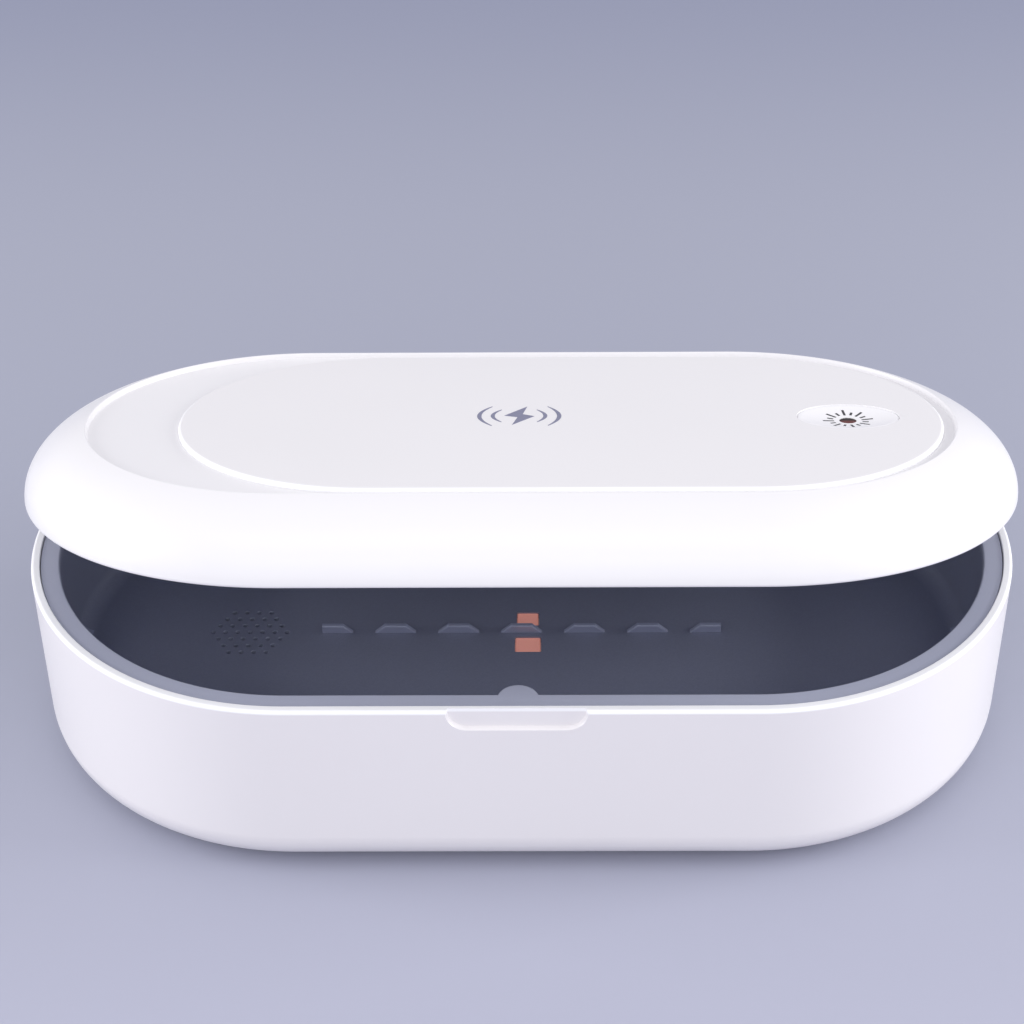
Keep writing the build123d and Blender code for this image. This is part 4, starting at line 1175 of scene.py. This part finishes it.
def repeated(name, finish, part, **sizes):
    """Grow copies of a closed part on the lattice, in one straight row unless told otherwise."""
    pattern = solid("pattern", finish, part)
    grown = lattice.grow(name, finish, Part=pattern, **{**ONE_ROW, **sizes})
    forget(pattern)
    return grown


print("the lattice recipe has", len(lattice.tree.nodes), "nodes")

# %% Scent holes, teeth and lamp windows of the tray
vent_pitch, vent_x, vent_span = 2.86, -63.0, 7
hole_levels = [(0.5, 17.0), (0.5, 19.0), (0.54, 19.2), (0.66, 19.34), (1.0, 19.7)]
hexagon = {
    "Columns": vent_span,
    "Rows": vent_span,
    "Pitch_x": vent_pitch,
    "Pitch_y": vent_pitch * math.sqrt(3) / 2,
    "Slant": vent_pitch / 2,
    "Limit": vent_span / 2,
}
hole = bored((vent_x, 0.0), 16, *hole_levels)
combine(tray, "DIFFERENCE", repeated("holes", slate, hole, **hexagon))

tooth_pitch, tooth_foot, tooth_top, tooth_height = 14.6, 9.7, 4.8, 2.1
tooth_half_thickness, tooth_edge, tooth_root = 0.6, 0.24, 18.9


def tooth(left, right):
    """A low trapezoid on edge, its front and back softened by a narrow chamfer."""
    layers = []
    for depth, inset in ((-1.0, 1.0), (-0.75, 0.0), (0.75, 0.0), (1.0, 1.0)):
        trim = tooth_edge * inset
        top = tray_floor + tooth_height - trim
        outline = [
            (-left + trim, tooth_root),
            (-left + trim, tray_floor),
            (-tooth_top / 2 + trim * 0.5, top),
            (tooth_top / 2 - trim * 0.5, top),
            (right - trim, tray_floor),
            (right - trim, tooth_root),
        ]
        layers.append([(x, depth * tooth_half_thickness, z) for x, z in outline])
    return stacked(layers)


def moved(part, x):
    """A part shifted along X."""
    return [(px + x, py, pz) for px, py, pz in part[0]], part[1]


half_foot, half_top, end_x = tooth_foot / 2, tooth_top / 2, 3 * tooth_pitch
teeth = repeated("teeth", slate, tooth(half_foot, half_foot), Columns=5, Pitch_x=tooth_pitch)
left_tooth = moved(tooth(half_top, half_foot), -end_x)
right_tooth = moved(tooth(half_foot, half_top), end_x)
combine(tray, "UNION", teeth, left_tooth, right_tooth)

big_lamp, small_lamp = (5.8, 5.3), (4.9, 4.7)
big_lamp_spot, small_lamp_spot = (1.5, -4.8), (1.5, 4.8)


lamp_fit, window_corner = 0.3, 0.35
through_tray, through_liner = (17.0, 19.9), (49.0, 52.0)


def window_cutter(lamp, spot, span):
    """A lamp's window, a little larger than the lamp and with softly rounded corners."""
    width, depth = lamp[0] + lamp_fit, lamp[1] + lamp_fit
    return prism(rounded_box(width, depth, window_corner, spot, 4), "Z", *span)


windows = ((big_lamp, big_lamp_spot), (small_lamp, small_lamp_spot))
combine(tray, "DIFFERENCE", *[window_cutter(*window, through_tray) for window in windows])
deliver(tray, "base", "tray_grey", "inner_tray")

# %% [markdown]
# ## Lamps
#
# Each lamp is a ceramic package with a shallow window frame and a lens plate within it. The base
# has a large and a small one, the lid a row of four that looks down. A lamp is drawn from rings of
# rounded rectangles: up the outside, over the frame, down to the plate.

# %% Lamp packages
frame_steps = [(0.1, 0.0), (0.0, 0.06), (0.0, 0.94), (0.06, 1.0), (0.42, 1.0), (0.50, 0.93)]
lamp_rise, lid_lamp_seat, lid_lamp_pitch = 1.4, 51.35, 32.0


def package(lamp, spot, seat, rise):
    """A lamp package whose frame stands on the seat and points along the rise."""

    def outline_at(inset):
        corner = max(0.12, 0.4 - inset)
        return rounded_box(lamp[0] - 2 * inset, lamp[1] - 2 * inset, corner, spot, 4)

    return ladder(outline_at, [(inset, seat + rise * share) for inset, share in frame_steps])


packages = [package(*window, tray_under, lamp_rise) for window in windows]
base_lamps = solid("base_lamp_packages", lamp_pink, *packages)
deliver(base_lamps, "base", "lamp_pink", "base_uv_lamps")
lid_lamp = package(small_lamp, (0.0, 0.0), lid_lamp_seat, -lamp_rise)
row_of_four = {"Columns": 4, "Pitch_x": lid_lamp_pitch}
lid_lamps = repeated("lid_lamp_packages", lamp_pink, lid_lamp, **row_of_four)
deliver(lid_lamps, "lid", "lamp_pink", "lid_uv_lamps")

# %% [markdown]
# ## Liner of the lid
#
# The liner closes the lid from below: a flat flange round a raised field, both by the oval rule.
# The field carries the screws, the boards and the lamps, and a cup on the flange holds the magnet.

# %% Lid liner
field_under, field_top, flange_under, flange_top, liner_radius = 49.7, 51.3, 47.2, 48.8, 57.90
liner_section = rounded(
    [
        (flat_start, field_under, 0),
        (46.46, field_under, 0.9),
        (47.90, flange_under, 0.5),
        (liner_radius, flange_under, 0.25),
        (liner_radius, flange_top, 0.15),
        (48.58, flange_top, 0),
        (47.13, field_top, 0.6),
        (flat_start, field_top, 0),
    ]
)
liner = shell("slate_liner", slate, liner_section)
charge_board, control_board = (0.0, 30.8), (68.7, 0.0)
charge_posts = crossed((-19.0, 19.0), (-10.0, 10.0), charge_board)
control_posts = crossed((-10.0, 10.0), (-6.0, 6.0), control_board)
magnet_spot = (0.0, -52.0)
lamp_columns = [(column - 1.5) * lid_lamp_pitch for column in range(4)]
combine(
    liner,
    "UNION",
    *[bored(spot, 32, (3.0, field_under + 0.2), (3.0, 52.3)) for spot in lid_screw_points],
    *[bored(spot, 24, (2.0, 50.5), (2.0, 52.65)) for spot in charge_posts + control_posts],
    bored(magnet_spot, 40, (4.1, 48.0), (4.1, 50.7), (4.0, 50.8)),
)
cone = [(2.65, 49.6), (2.55, 49.7), (1.5, 51.75), (1.5, 52.6)]
combine(
    liner,
    "DIFFERENCE",
    prism(box(0.0, 62.0, 73.6, 13.1), "Z", 46.0, 49.5),
    bored(magnet_spot, 40, (3.1, 48.8), (3.1, 51.5)),
    *[bored(spot, 32, *cone) for spot in lid_screw_points],
    *[window_cutter(small_lamp, (x, 0.0), through_liner) for x in lamp_columns],
)
deliver(liner, "lid", "tray_grey", "lid_liner")

# %% [markdown]
# ## Window and sunburst of the key
#
# The window is a smoked lens, a little domed, at the bottom of the dish. Round it sixteen short
# rays are printed, long and short by turns. The recipe sets rays on a circle by their number and
# then lays them on the dish by its own formula, so that the print follows the hollow.

# %% Key window
lens_levels = [(1.85, 55.6), (1.85, 60.26), (1.80, 60.32)]
lens_levels += [(1.5, 60.35), (0.9, 60.38), (0.3, 60.395)]
lens = solid("key_lens", key_window, bored((key_middle, 0.0), 48, *lens_levels))
deliver(lens, "key", "key_window", "key_window")

# %% Sunburst by a rule
ray_sizes = {"Inner": 3.1, "Long": 2.5, "Short": 1.35, "Width": 0.52}
ray_sizes |= {"Lean": math.radians(6.0), "Thickness": 0.05}
short_starts, sunk = 0.15, 0.02
burst = Recipe("sunburst", Rays=int, **{size: float for size in ray_sizes})
ray = burst.index()
bearing = ray / burst.given["Rays"] * (2 * math.pi) + burst.given["Lean"]
is_short = ray % 2.0
length = burst.given["Long"] + is_short * (burst.given["Short"] - burst.given["Long"])
middle = burst.given["Inner"] + is_short * short_starts + length / 2.0
loose = burst.line(burst.given["Rays"])
middles = burst.placed(loose, bearing.cosine() * middle, bearing.sine() * middle, 0.0)
axis_and_angle = {"Axis": (0.0, 0.0, 1.0), "Angle": bearing}
turned = burst.node("FunctionNodeAxisAngleToRotation", None, axis_and_angle, "Rotation")
sheet_size = {"Size X": 1.0, "Size Y": 1.0, "Vertices X": 6, "Vertices Y": 3}
sheet = burst.node("GeometryNodeMeshGrid", None, sheet_size)
sockets = {"Points": middles, "Instance": sheet, "Rotation": turned}
sockets |= {"Scale": burst.vector(length, burst.given["Width"], 1.0)}
spread = burst.node("GeometryNodeInstanceOnPoints", None, sockets)
real = burst.node("GeometryNodeRealizeInstances", None, {"Geometry": spread})
print("a sunburst of rays that are", ray_sizes["Long"], "and", ray_sizes["Short"], "mm long")

# %% Thickness of the rays, and the hollow under them
sockets = {"Mesh": real, "Offset": (0.0, 0.0, 1.0), "Individual": False}
sockets |= {"Offset Scale": burst.given["Thickness"]}
thick = burst.node("GeometryNodeExtrudeMesh", None, sockets)
under = burst.node("GeometryNodeFlipFaces", None, {"Mesh": real})
closed = burst.node("GeometryNodeJoinGeometry")
for half in (under, thick):
    burst.tree.links.new(half.socket, closed.socket.node.inputs[0])
welded = burst.node("GeometryNodeMergeByDistance", None, {"Geometry": closed, "Distance": 0.0005})
at = burst.node("GeometryNodeInputPosition")
at_x, at_y, at_z = (burst.node("ShaderNodeSeparateXYZ", None, {0: at}, axis) for axis in "XYZ")
part_long, part_wide = at_x / dish_long, at_y / dish_wide
share = part_long * part_long + part_wide * part_wide
hollow_height = key_top - (1.0 - share) * dish_depth - share * (1.0 - share) * dish_sag
burst.result(burst.placed(welded, at_x + key_middle, at_y, at_z + hollow_height - sunk))
deliver(burst.grow("key_sunburst", ray_ink, Rays=16, **ray_sizes), "key", "key_white")

# %% [markdown]
# ## Charging sign
#
# The sign in the middle of the pad is printed: a flash between two pairs of arcs. Each arc is a
# crescent, thick in its middle and tapering to its ends, drawn between an outer and an inner circle
# that share their end points.

# %% Charging sign
ink_low, ink_high = 61.38, 61.43


def crescent(outer_x, end_x, low_y, high_y, width, tip=0.42, count=18):
    """A bowed stroke that is as wide as said in its middle and thins out to its tips."""
    middle_y, reach_y = (low_y + high_y) / 2, (high_y - low_y) / 2
    inward = math.copysign(width, end_x - outer_x)

    def arc(bulge_x, reach):
        turns = np.linspace(-1.0, 1.0, count + 1)
        return [(end_x + (bulge_x - end_x) * (1 - t * t), middle_y + reach * t) for t in turns]

    return arc(outer_x, reach_y) + arc(outer_x + inward, reach_y - tip)[::-1]


arcs = [
    crescent(-9.55, -6.25, -5.7, 7.4, 0.95),
    crescent(-6.55, -4.15, -3.3, 5.2, 0.88),
    crescent(5.95, 3.65, -3.3, 5.2, 0.88),
    crescent(9.05, 6.05, -5.7, 7.4, 0.95),
]
flash = [(1.51, 7.14), (-3.55, 1.08), (-0.61, 0.05), (-1.83, -5.04), (3.1, 0.68), (0.51, 2.05)]
strokes = [prism(outline, "Z", ink_low, ink_high) for outline in arcs + [flash]]
sign = solid("charging_sign", sign_ink, *strokes)
deliver(sign, "lid", "pad_white")


# %% [markdown]
# ## Screws
#
# The self-tapping screws have a countersunk head with a cross recess. Their shank is turned, and
# the thread is grown: a spiral carries a small triangle round the shank and sinks its root in it.

# %% Threads and screws
thread = Recipe("thread", Turns=float, Root=float, Crest=float, Length=float, Start=float)
turns, root, crest, long, start = (thread.given[key] for key in list(thread.given)[:5])
worm = thread.carried(thread.circle(3, crest), thread.spiral(20, turns, root, root, long), **CAPPED)
lift = {"Geometry": worm, "Translation": thread.vector(0.0, 0.0, start)}
thread.result(thread.node("GeometryNodeTransform", None, lift))
head_radius, head_height, shank_radius, tip_radius = 2.3, 1.8, 1.0, 0.12
slot_half, slot_reach = 0.36, 1.3


def cross_outline(share):
    """The twelve corners of a cross recess, scaled by a share."""
    arm = [(slot_half, -slot_half), (slot_reach, -slot_half), (slot_reach, slot_half)]
    corners = []
    for _ in range(4):
        corners += arm
        arm = [(-y, x) for x, y in arm]
    return [(x * share, y * share) for x, y in corners]


def screws(name, spots, head_z, length):
    """Countersunk screws at some spots, heads down, with cross recess and thread."""
    levels = [(head_radius - 0.1, 0.0), (head_radius, 0.1), (head_radius, 0.45)]
    levels += [(shank_radius, head_height), (shank_radius, length - 1.25), (tip_radius, length)]
    blank = bored((0.0, 0.0), 32, *[(radius, head_z + level) for radius, level in levels])
    body = solid(name, steel, blank)
    recess = ladder(cross_outline, [(1.05, head_z - 0.2), (0.35, head_z + 1.1)])
    combine(body, "DIFFERENCE", recess)
    sizes = {"Turns": 7.0, "Root": shank_radius, "Crest": 0.24}
    sizes |= {"Length": length - 3.4, "Start": head_z + head_height + 0.1}
    worm = thread.grow("worm", steel, **sizes)
    work = bmesh.new()
    for x, y in spots:
        for mesh in (body.data, worm.data):
            start = len(work.verts)
            work.from_mesh(mesh)
            work.verts.ensure_lookup_table()
            for vertex in work.verts[start:]:
                vertex.co += Vector((x, y, 0.0))
    work.to_mesh(body.data)
    work.free()
    forget(worm)
    return body


deliver(screws("base_fixings", foot_points, 2.05, 12.0), "base", "steel", "base_screws")
deliver(screws("lid_fixings", lid_screw_points, 49.75, 7.0), "lid", "steel", "lid_screws")

# %% [markdown]
# ## Feet, pins and bushes
#
# The feet are moulded in rubber with rings that grip the table. The pins are cut from bar with
# chamfered ends. Each bush is a short tube that rubs on its pin and so holds the lid ajar.

# %% Feet, pins and bushes
tread = [(1.0, 0.35), (1.6, 0.35), (1.7, 0.0), (2.6, 0.0), (2.7, 0.35), (3.3, 0.35), (3.4, 0.0)]
tread += [(4.3, 0.0), (4.4, 0.35), (5.0, 0.35), (5.1, 0.0)]
foot_levels = tread + [(6.0, 0.0), (6.5, 0.5), (6.5, 1.95)]
feet = solid("ringed_feet", rubber_grey, *[bored(spot, 48, *foot_levels) for spot in foot_points])
deliver(feet, "base", "rubber_grey", "rubber_feet")


def rod(start, end):
    """A pin on the hinge axis with chamfered ends."""
    levels = [(0.8, start), (1.0, start + 0.25), (1.0, end - 0.25), (0.8, end)]
    return bored(hinge_middle, 32, *levels, along="X")


pins = solid("chamfered_pins", steel, rod(-34.95, -15.2), rod(15.2, 34.95))
deliver(pins, "base", "steel", "hinge_pins")


def bush(start, end):
    """A tube round the pin, as one closed run of rings."""
    levels = [(1.03, start), (1.5, start), (1.58, start + 0.12)]
    levels += [(1.58, end - 0.12), (1.5, end), (1.03, end)]
    return tube(bored(hinge_middle, 32, *levels, along="X"), 32)


bushes = solid("acetal_bushes", acetal, bush(-23.6, -15.4), bush(15.4, 23.6))
deliver(bushes, "lid", "bush_plastic", "hinge_bushes")

# %% [markdown]
# ## Coil
#
# The charging coil is a flat spiral of enamelled wire. The recipe winds it from its inner to its
# outer radius; a rounded ribbon stands for the twisted strands.

# %% Winding of the coil
coil_sizes = {"Turns": 7.0, "Inner": 10.9, "Outer": 21.1, "Wire_wide": 1.4, "Wire_high": 1.7}
winding = Recipe("winding", **{size: float for size in coil_sizes})
turns, inner, outer, wide, high = (winding.given[key] for key in coil_sizes)
strand = {"Geometry": winding.circle(16, 0.5), "Scale": winding.vector(wide, high, 1.0)}
strand = winding.node("GeometryNodeTransform", None, strand)
winding.result(winding.carried(strand, winding.spiral(72, turns, inner, outer, 0.0), **CAPPED))
coil = winding.grow("wound_coil", copper, **coil_sizes)
coil.data.transform(Matrix.Translation((0.0, 1.0, 57.1)))
deliver(coil, "lid", "copper", "charging_coil")

# %% [markdown]
# ## Boards
#
# The boards keep their measured shapes. What makes them read as circuits is what stands on them:
# the legs of the chips, rows of small resistors, and the tinned ends of the leads. They are hidden
# in use, but the open box and an exploded view show them.

# %% Chips with legs and small parts
def chip(x, y, size, base, height):
    """A chip body whose four sides slope to a seam half way up."""
    slope = 0.12
    levels = [(slope, 0.15), (0.0, height * 0.45), (0.0, height * 0.55), (slope, height)]
    levels = [(inset, base + level) for inset, level in levels]
    return ladder(lambda inset: box(x, y, size - 2 * inset, size - 2 * inset), levels)


def legs(x, y, size, base, per_side, reach):
    """Bent legs down both sides of a chip."""
    thick, half_wide, shoulder = 0.15, 0.2, 0.75
    parts = []
    for side in (-1, 1):
        start, end = x + side * (size / 2 - 0.1), x + side * (size / 2 + reach)
        bend = x + side * (size / 2 + reach * 0.4)
        over = [(start, shoulder), (bend, shoulder), (bend + side * 0.1, thick), (end, thick)]
        below = [(end, 0.0), (bend - side * 0.1, 0.0), (bend - side * 0.25, shoulder - thick)]
        run = [*over, *below, (start, shoulder - thick)]
        for step in range(per_side):
            leg_y = y + (step - (per_side - 1) / 2) * size / (per_side + 0.5)
            run_up = [(along, base + up) for along, up in run]
            parts.append(prism(run_up, "Y", leg_y - half_wide, leg_y + half_wide))
    return parts


board_top, lid_board_top = 8.0, 53.9
main_y, charge_y = main_board[1], charge_board[1]
CHIPS = [
    ("logic_chips", "base", "board_chips", crossed((-11.25, 11.25), (0.0,), main_board)),
    ("charge_drivers", "lid", "charge_chips", crossed((-6.0, 6.0), (0.0,), charge_board)),
]
SIZES = {"base": (9.0, board_top, 1.6, 8, 1.1), "lid": (6.0, lid_board_top, 1.0, 6, 0.9)}
for name, body, measured, spots in CHIPS:
    size, base, height, per_side, reach = SIZES[body]
    bodies = [chip(x, y, size, base, height) for x, y in spots]
    deliver(solid(name, chip_black, *bodies), body, "chip_black", measured)
    feet_of_chips = [leg for x, y in spots for leg in legs(x, y, size, base, per_side, reach)]
    leg_name = name.removesuffix("s") + "_legs"
    deliver(solid(leg_name, tin, *feet_of_chips), body, "steel")

# %% Small parts
def resistor(base):
    """A small part drawn as one brick with a bevelled top."""
    levels = [(0.0, base), (0.0, base + 0.4), (0.08, base + 0.48)]
    return ladder(lambda inset: box(0.0, 0.0, 1.6 - 2 * inset, 0.8 - 2 * inset), levels)


ROWS = [
    ("resistor_rows", "base", board_top, (9, 2.6, 1.7), (24.0, main_y - 13.0)),
    ("charge_resistor_rows", "lid", lid_board_top, (4, 2.4, 1.6), (-15.0, charge_y + 6.5)),
]
for name, body, top, (columns, pitch_x, pitch_y), (x, y) in ROWS:
    sizes = {"Columns": columns, "Rows": 3, "Pitch_x": pitch_x, "Pitch_y": pitch_y}
    small_parts = repeated(name, chip_black, resistor(top), **sizes)
    small_parts.data.transform(Matrix.Translation((x, y, 0.0)))
    deliver(small_parts, body, "chip_black")

# %% [markdown]
# ## Power socket
#
# The socket's shell keeps its measured shape. On its tongue lie twelve gilt contacts a side, which
# show at the back of the box.

# %% Contacts of the socket
contact_pitch, contact_y, contact_width, contact_length = 0.5, 55.9, 0.24, 5.4
tongue_face, contact_face = 0.34, 0.40
contact_rows = []
for side in (-1, 1):
    low, high = sorted(socket_height + side * face for face in (tongue_face, contact_face))
    for number in range(12):
        outline = box((number - 5.5) * contact_pitch, contact_y, contact_width, contact_length)
        contact_rows.append(prism(outline, "Z", low, high))
deliver(solid("socket_contacts", gold, *contact_rows), "base", "steel")

# %% [markdown]
# ## Measured pieces that keep their shape
#
# The rest is right as measured, and takes its finish on the slots that it already has.

# %% Finishes for the measured pieces
finishes = {
    "base_led_board": board_white,
    "scent_cup": cup_plastic,
    "scent_pad": felt,
    "main_board": board_green,
    "board_inductor": ferrite,
    "board_capacitor": can_metal,
    "usb_socket": nickel,
    "sensor_board": board_green,
    "lid_sensor": chip_black,
    "base_wires": wire_insulation,
    "control_board": board_green,
    "tact_switch": chip_black,
    "indicator_lamp": lamp_pink,
    "lid_lamp_strip": board_white,
    "lid_magnet": nickel,
    "ferrite_sheet": ferrite,
    "charge_board": board_green,
    "lid_wires": wire_insulation,
    "switch_plunger": key_white,
}
for name, finish in finishes.items():
    finish.wear(nodes[name])
print("measured pieces that keep their shape:", len(finishes), "of", len(nodes))


# %% [markdown]
# ## Camera
#
# The box is seen from the front and above through a long lens, a little turned and rolled. The
# camera's matrix is built from its three directions, because that keeps pitch, yaw and roll apart.

# %% Camera
camera_place = Vector((2.12, -435.6, 358.4)) * mm
pitch, yaw, roll = (math.radians(turn) for turn in (35.017, -0.538, -0.483))
camera = bpy.data.objects.new("camera", bpy.data.cameras.new("camera"))
collection.objects.link(camera)
bpy.context.scene.camera = camera
camera.data.lens = 83.48
camera.data.sensor_width = 36.0
camera.data.clip_start = 0.01
camera.data.clip_end = 20.0
level = Vector((math.cos(yaw), -math.sin(yaw), 0.0))
ahead = Vector((math.sin(yaw), math.cos(yaw), 0.0))
forward = math.cos(pitch) * ahead - math.sin(pitch) * Vector((0.0, 0.0, 1.0))
upright = level.cross(forward)
right = math.cos(roll) * level + math.sin(roll) * upright
up = math.cos(roll) * upright - math.sin(roll) * level
facing = Matrix((right, up, -forward)).transposed().to_4x4()
camera.matrix_world = Matrix.Translation(camera_place) @ facing
print("camera looks down by", round(math.degrees(pitch), 2), "degrees")

# %% [markdown]
# ## Floor and background
#
# The box stands on pale blue-grey paper that is wider than the view. Its colour carries painted
# light, paler just in front of the box where the box's shadow falls, and painted shade, deeper at
# the back, with a faint cloudy tone, so that the background isn't one dead colour. The paper keeps
# the shadow of the box, which the painted light weakens in front.

# %% Floor
reach = 3.0
floor_mesh = bpy.data.meshes.new("floor")
floor_corners = [(-reach, -reach, 0), (reach, -reach, 0), (reach, reach, 0), (-reach, reach, 0)]
floor_mesh.from_pydata(floor_corners, [], [(0, 1, 2, 3)])
floor = bpy.data.objects.new("floor", floor_mesh)
collection.objects.link(floor)
paper = Finish("floor_paper", Roughness=0.7, Specular_IOR_Level=0.15)
tone = paper.between(paper.noise(1.2, 2.0), 0.3, 0.7)
from_front = paper.axis("Y")
soft = {"interpolation_type": "SMOOTHSTEP"}
# Painted light: the paper is coloured paler in front of the box, where its shadow falls.
front = paper.node("ShaderNodeMapRange", soft, {"Value": from_front, 1: 0.03, 2: -0.11})
# Painted shade: the paper is coloured deeper towards the back.
back = paper.node("ShaderNodeMapRange", soft, {"Value": from_front, 1: 0.20, 2: 0.50})
cloudy = paper.blend(tone, (0.37, 0.385, 0.47), (0.355, 0.37, 0.45))
painted_front_light = paper.blend(front, cloudy, (0.435, 0.445, 0.545))
paper.put("Base Color", paper.blend(back, painted_front_light, (0.285, 0.305, 0.41)))
paper.wear(floor)
print("floor finish:", paper.material.name)

# %% [markdown]
# ## Studio light
#
# Broad soft boxes round the box, and a dim sky between them. One hangs high in front and lights
# the deck and the ledge of the tray, two lower ones in front light the nose of the lid and the
# tub, and one on either side keeps the ends bright.

# %% Soft boxes and sky
def softbox(name, place, width, height, power):
    """A rectangular lamp that faces the box."""
    lamp = bpy.data.lights.new(name, "AREA")
    lamp.shape = "RECTANGLE"
    lamp.size, lamp.size_y = width, height
    lamp.energy = power
    holder = bpy.data.objects.new(name, lamp)
    collection.objects.link(holder)
    holder.location = place
    holder.rotation_mode = "QUATERNION"
    holder.rotation_quaternion = (Vector((0.0, 0.0, 0.04)) - Vector(place)).to_track_quat("-Z", "Y")


softbox("high_front", (0.0, -0.30, 1.1), 1.0, 0.5, 1.5)
softbox("front", (0.0, -0.85, 0.75), 1.0, 0.5, 1.72)
softbox("low_front", (0.0, -1.1, 0.3), 1.2, 0.4, 1.85)
softbox("left", (-1.0, 0.0, 0.3), 0.6, 0.6, 5.3)
softbox("right", (1.0, 0.0, 0.3), 0.6, 0.6, 7.0)

world = bpy.data.worlds.new("studio")
bpy.context.scene.world = world
world.use_nodes = True
background = world.node_tree.nodes["Background"]
background.inputs["Color"].default_value = (0.885, 0.88, 0.95, 1)
background.inputs["Strength"].default_value = 0.763
bpy.context.scene.view_settings.view_transform = "Standard"
print("lamps:", len(bpy.data.lights))
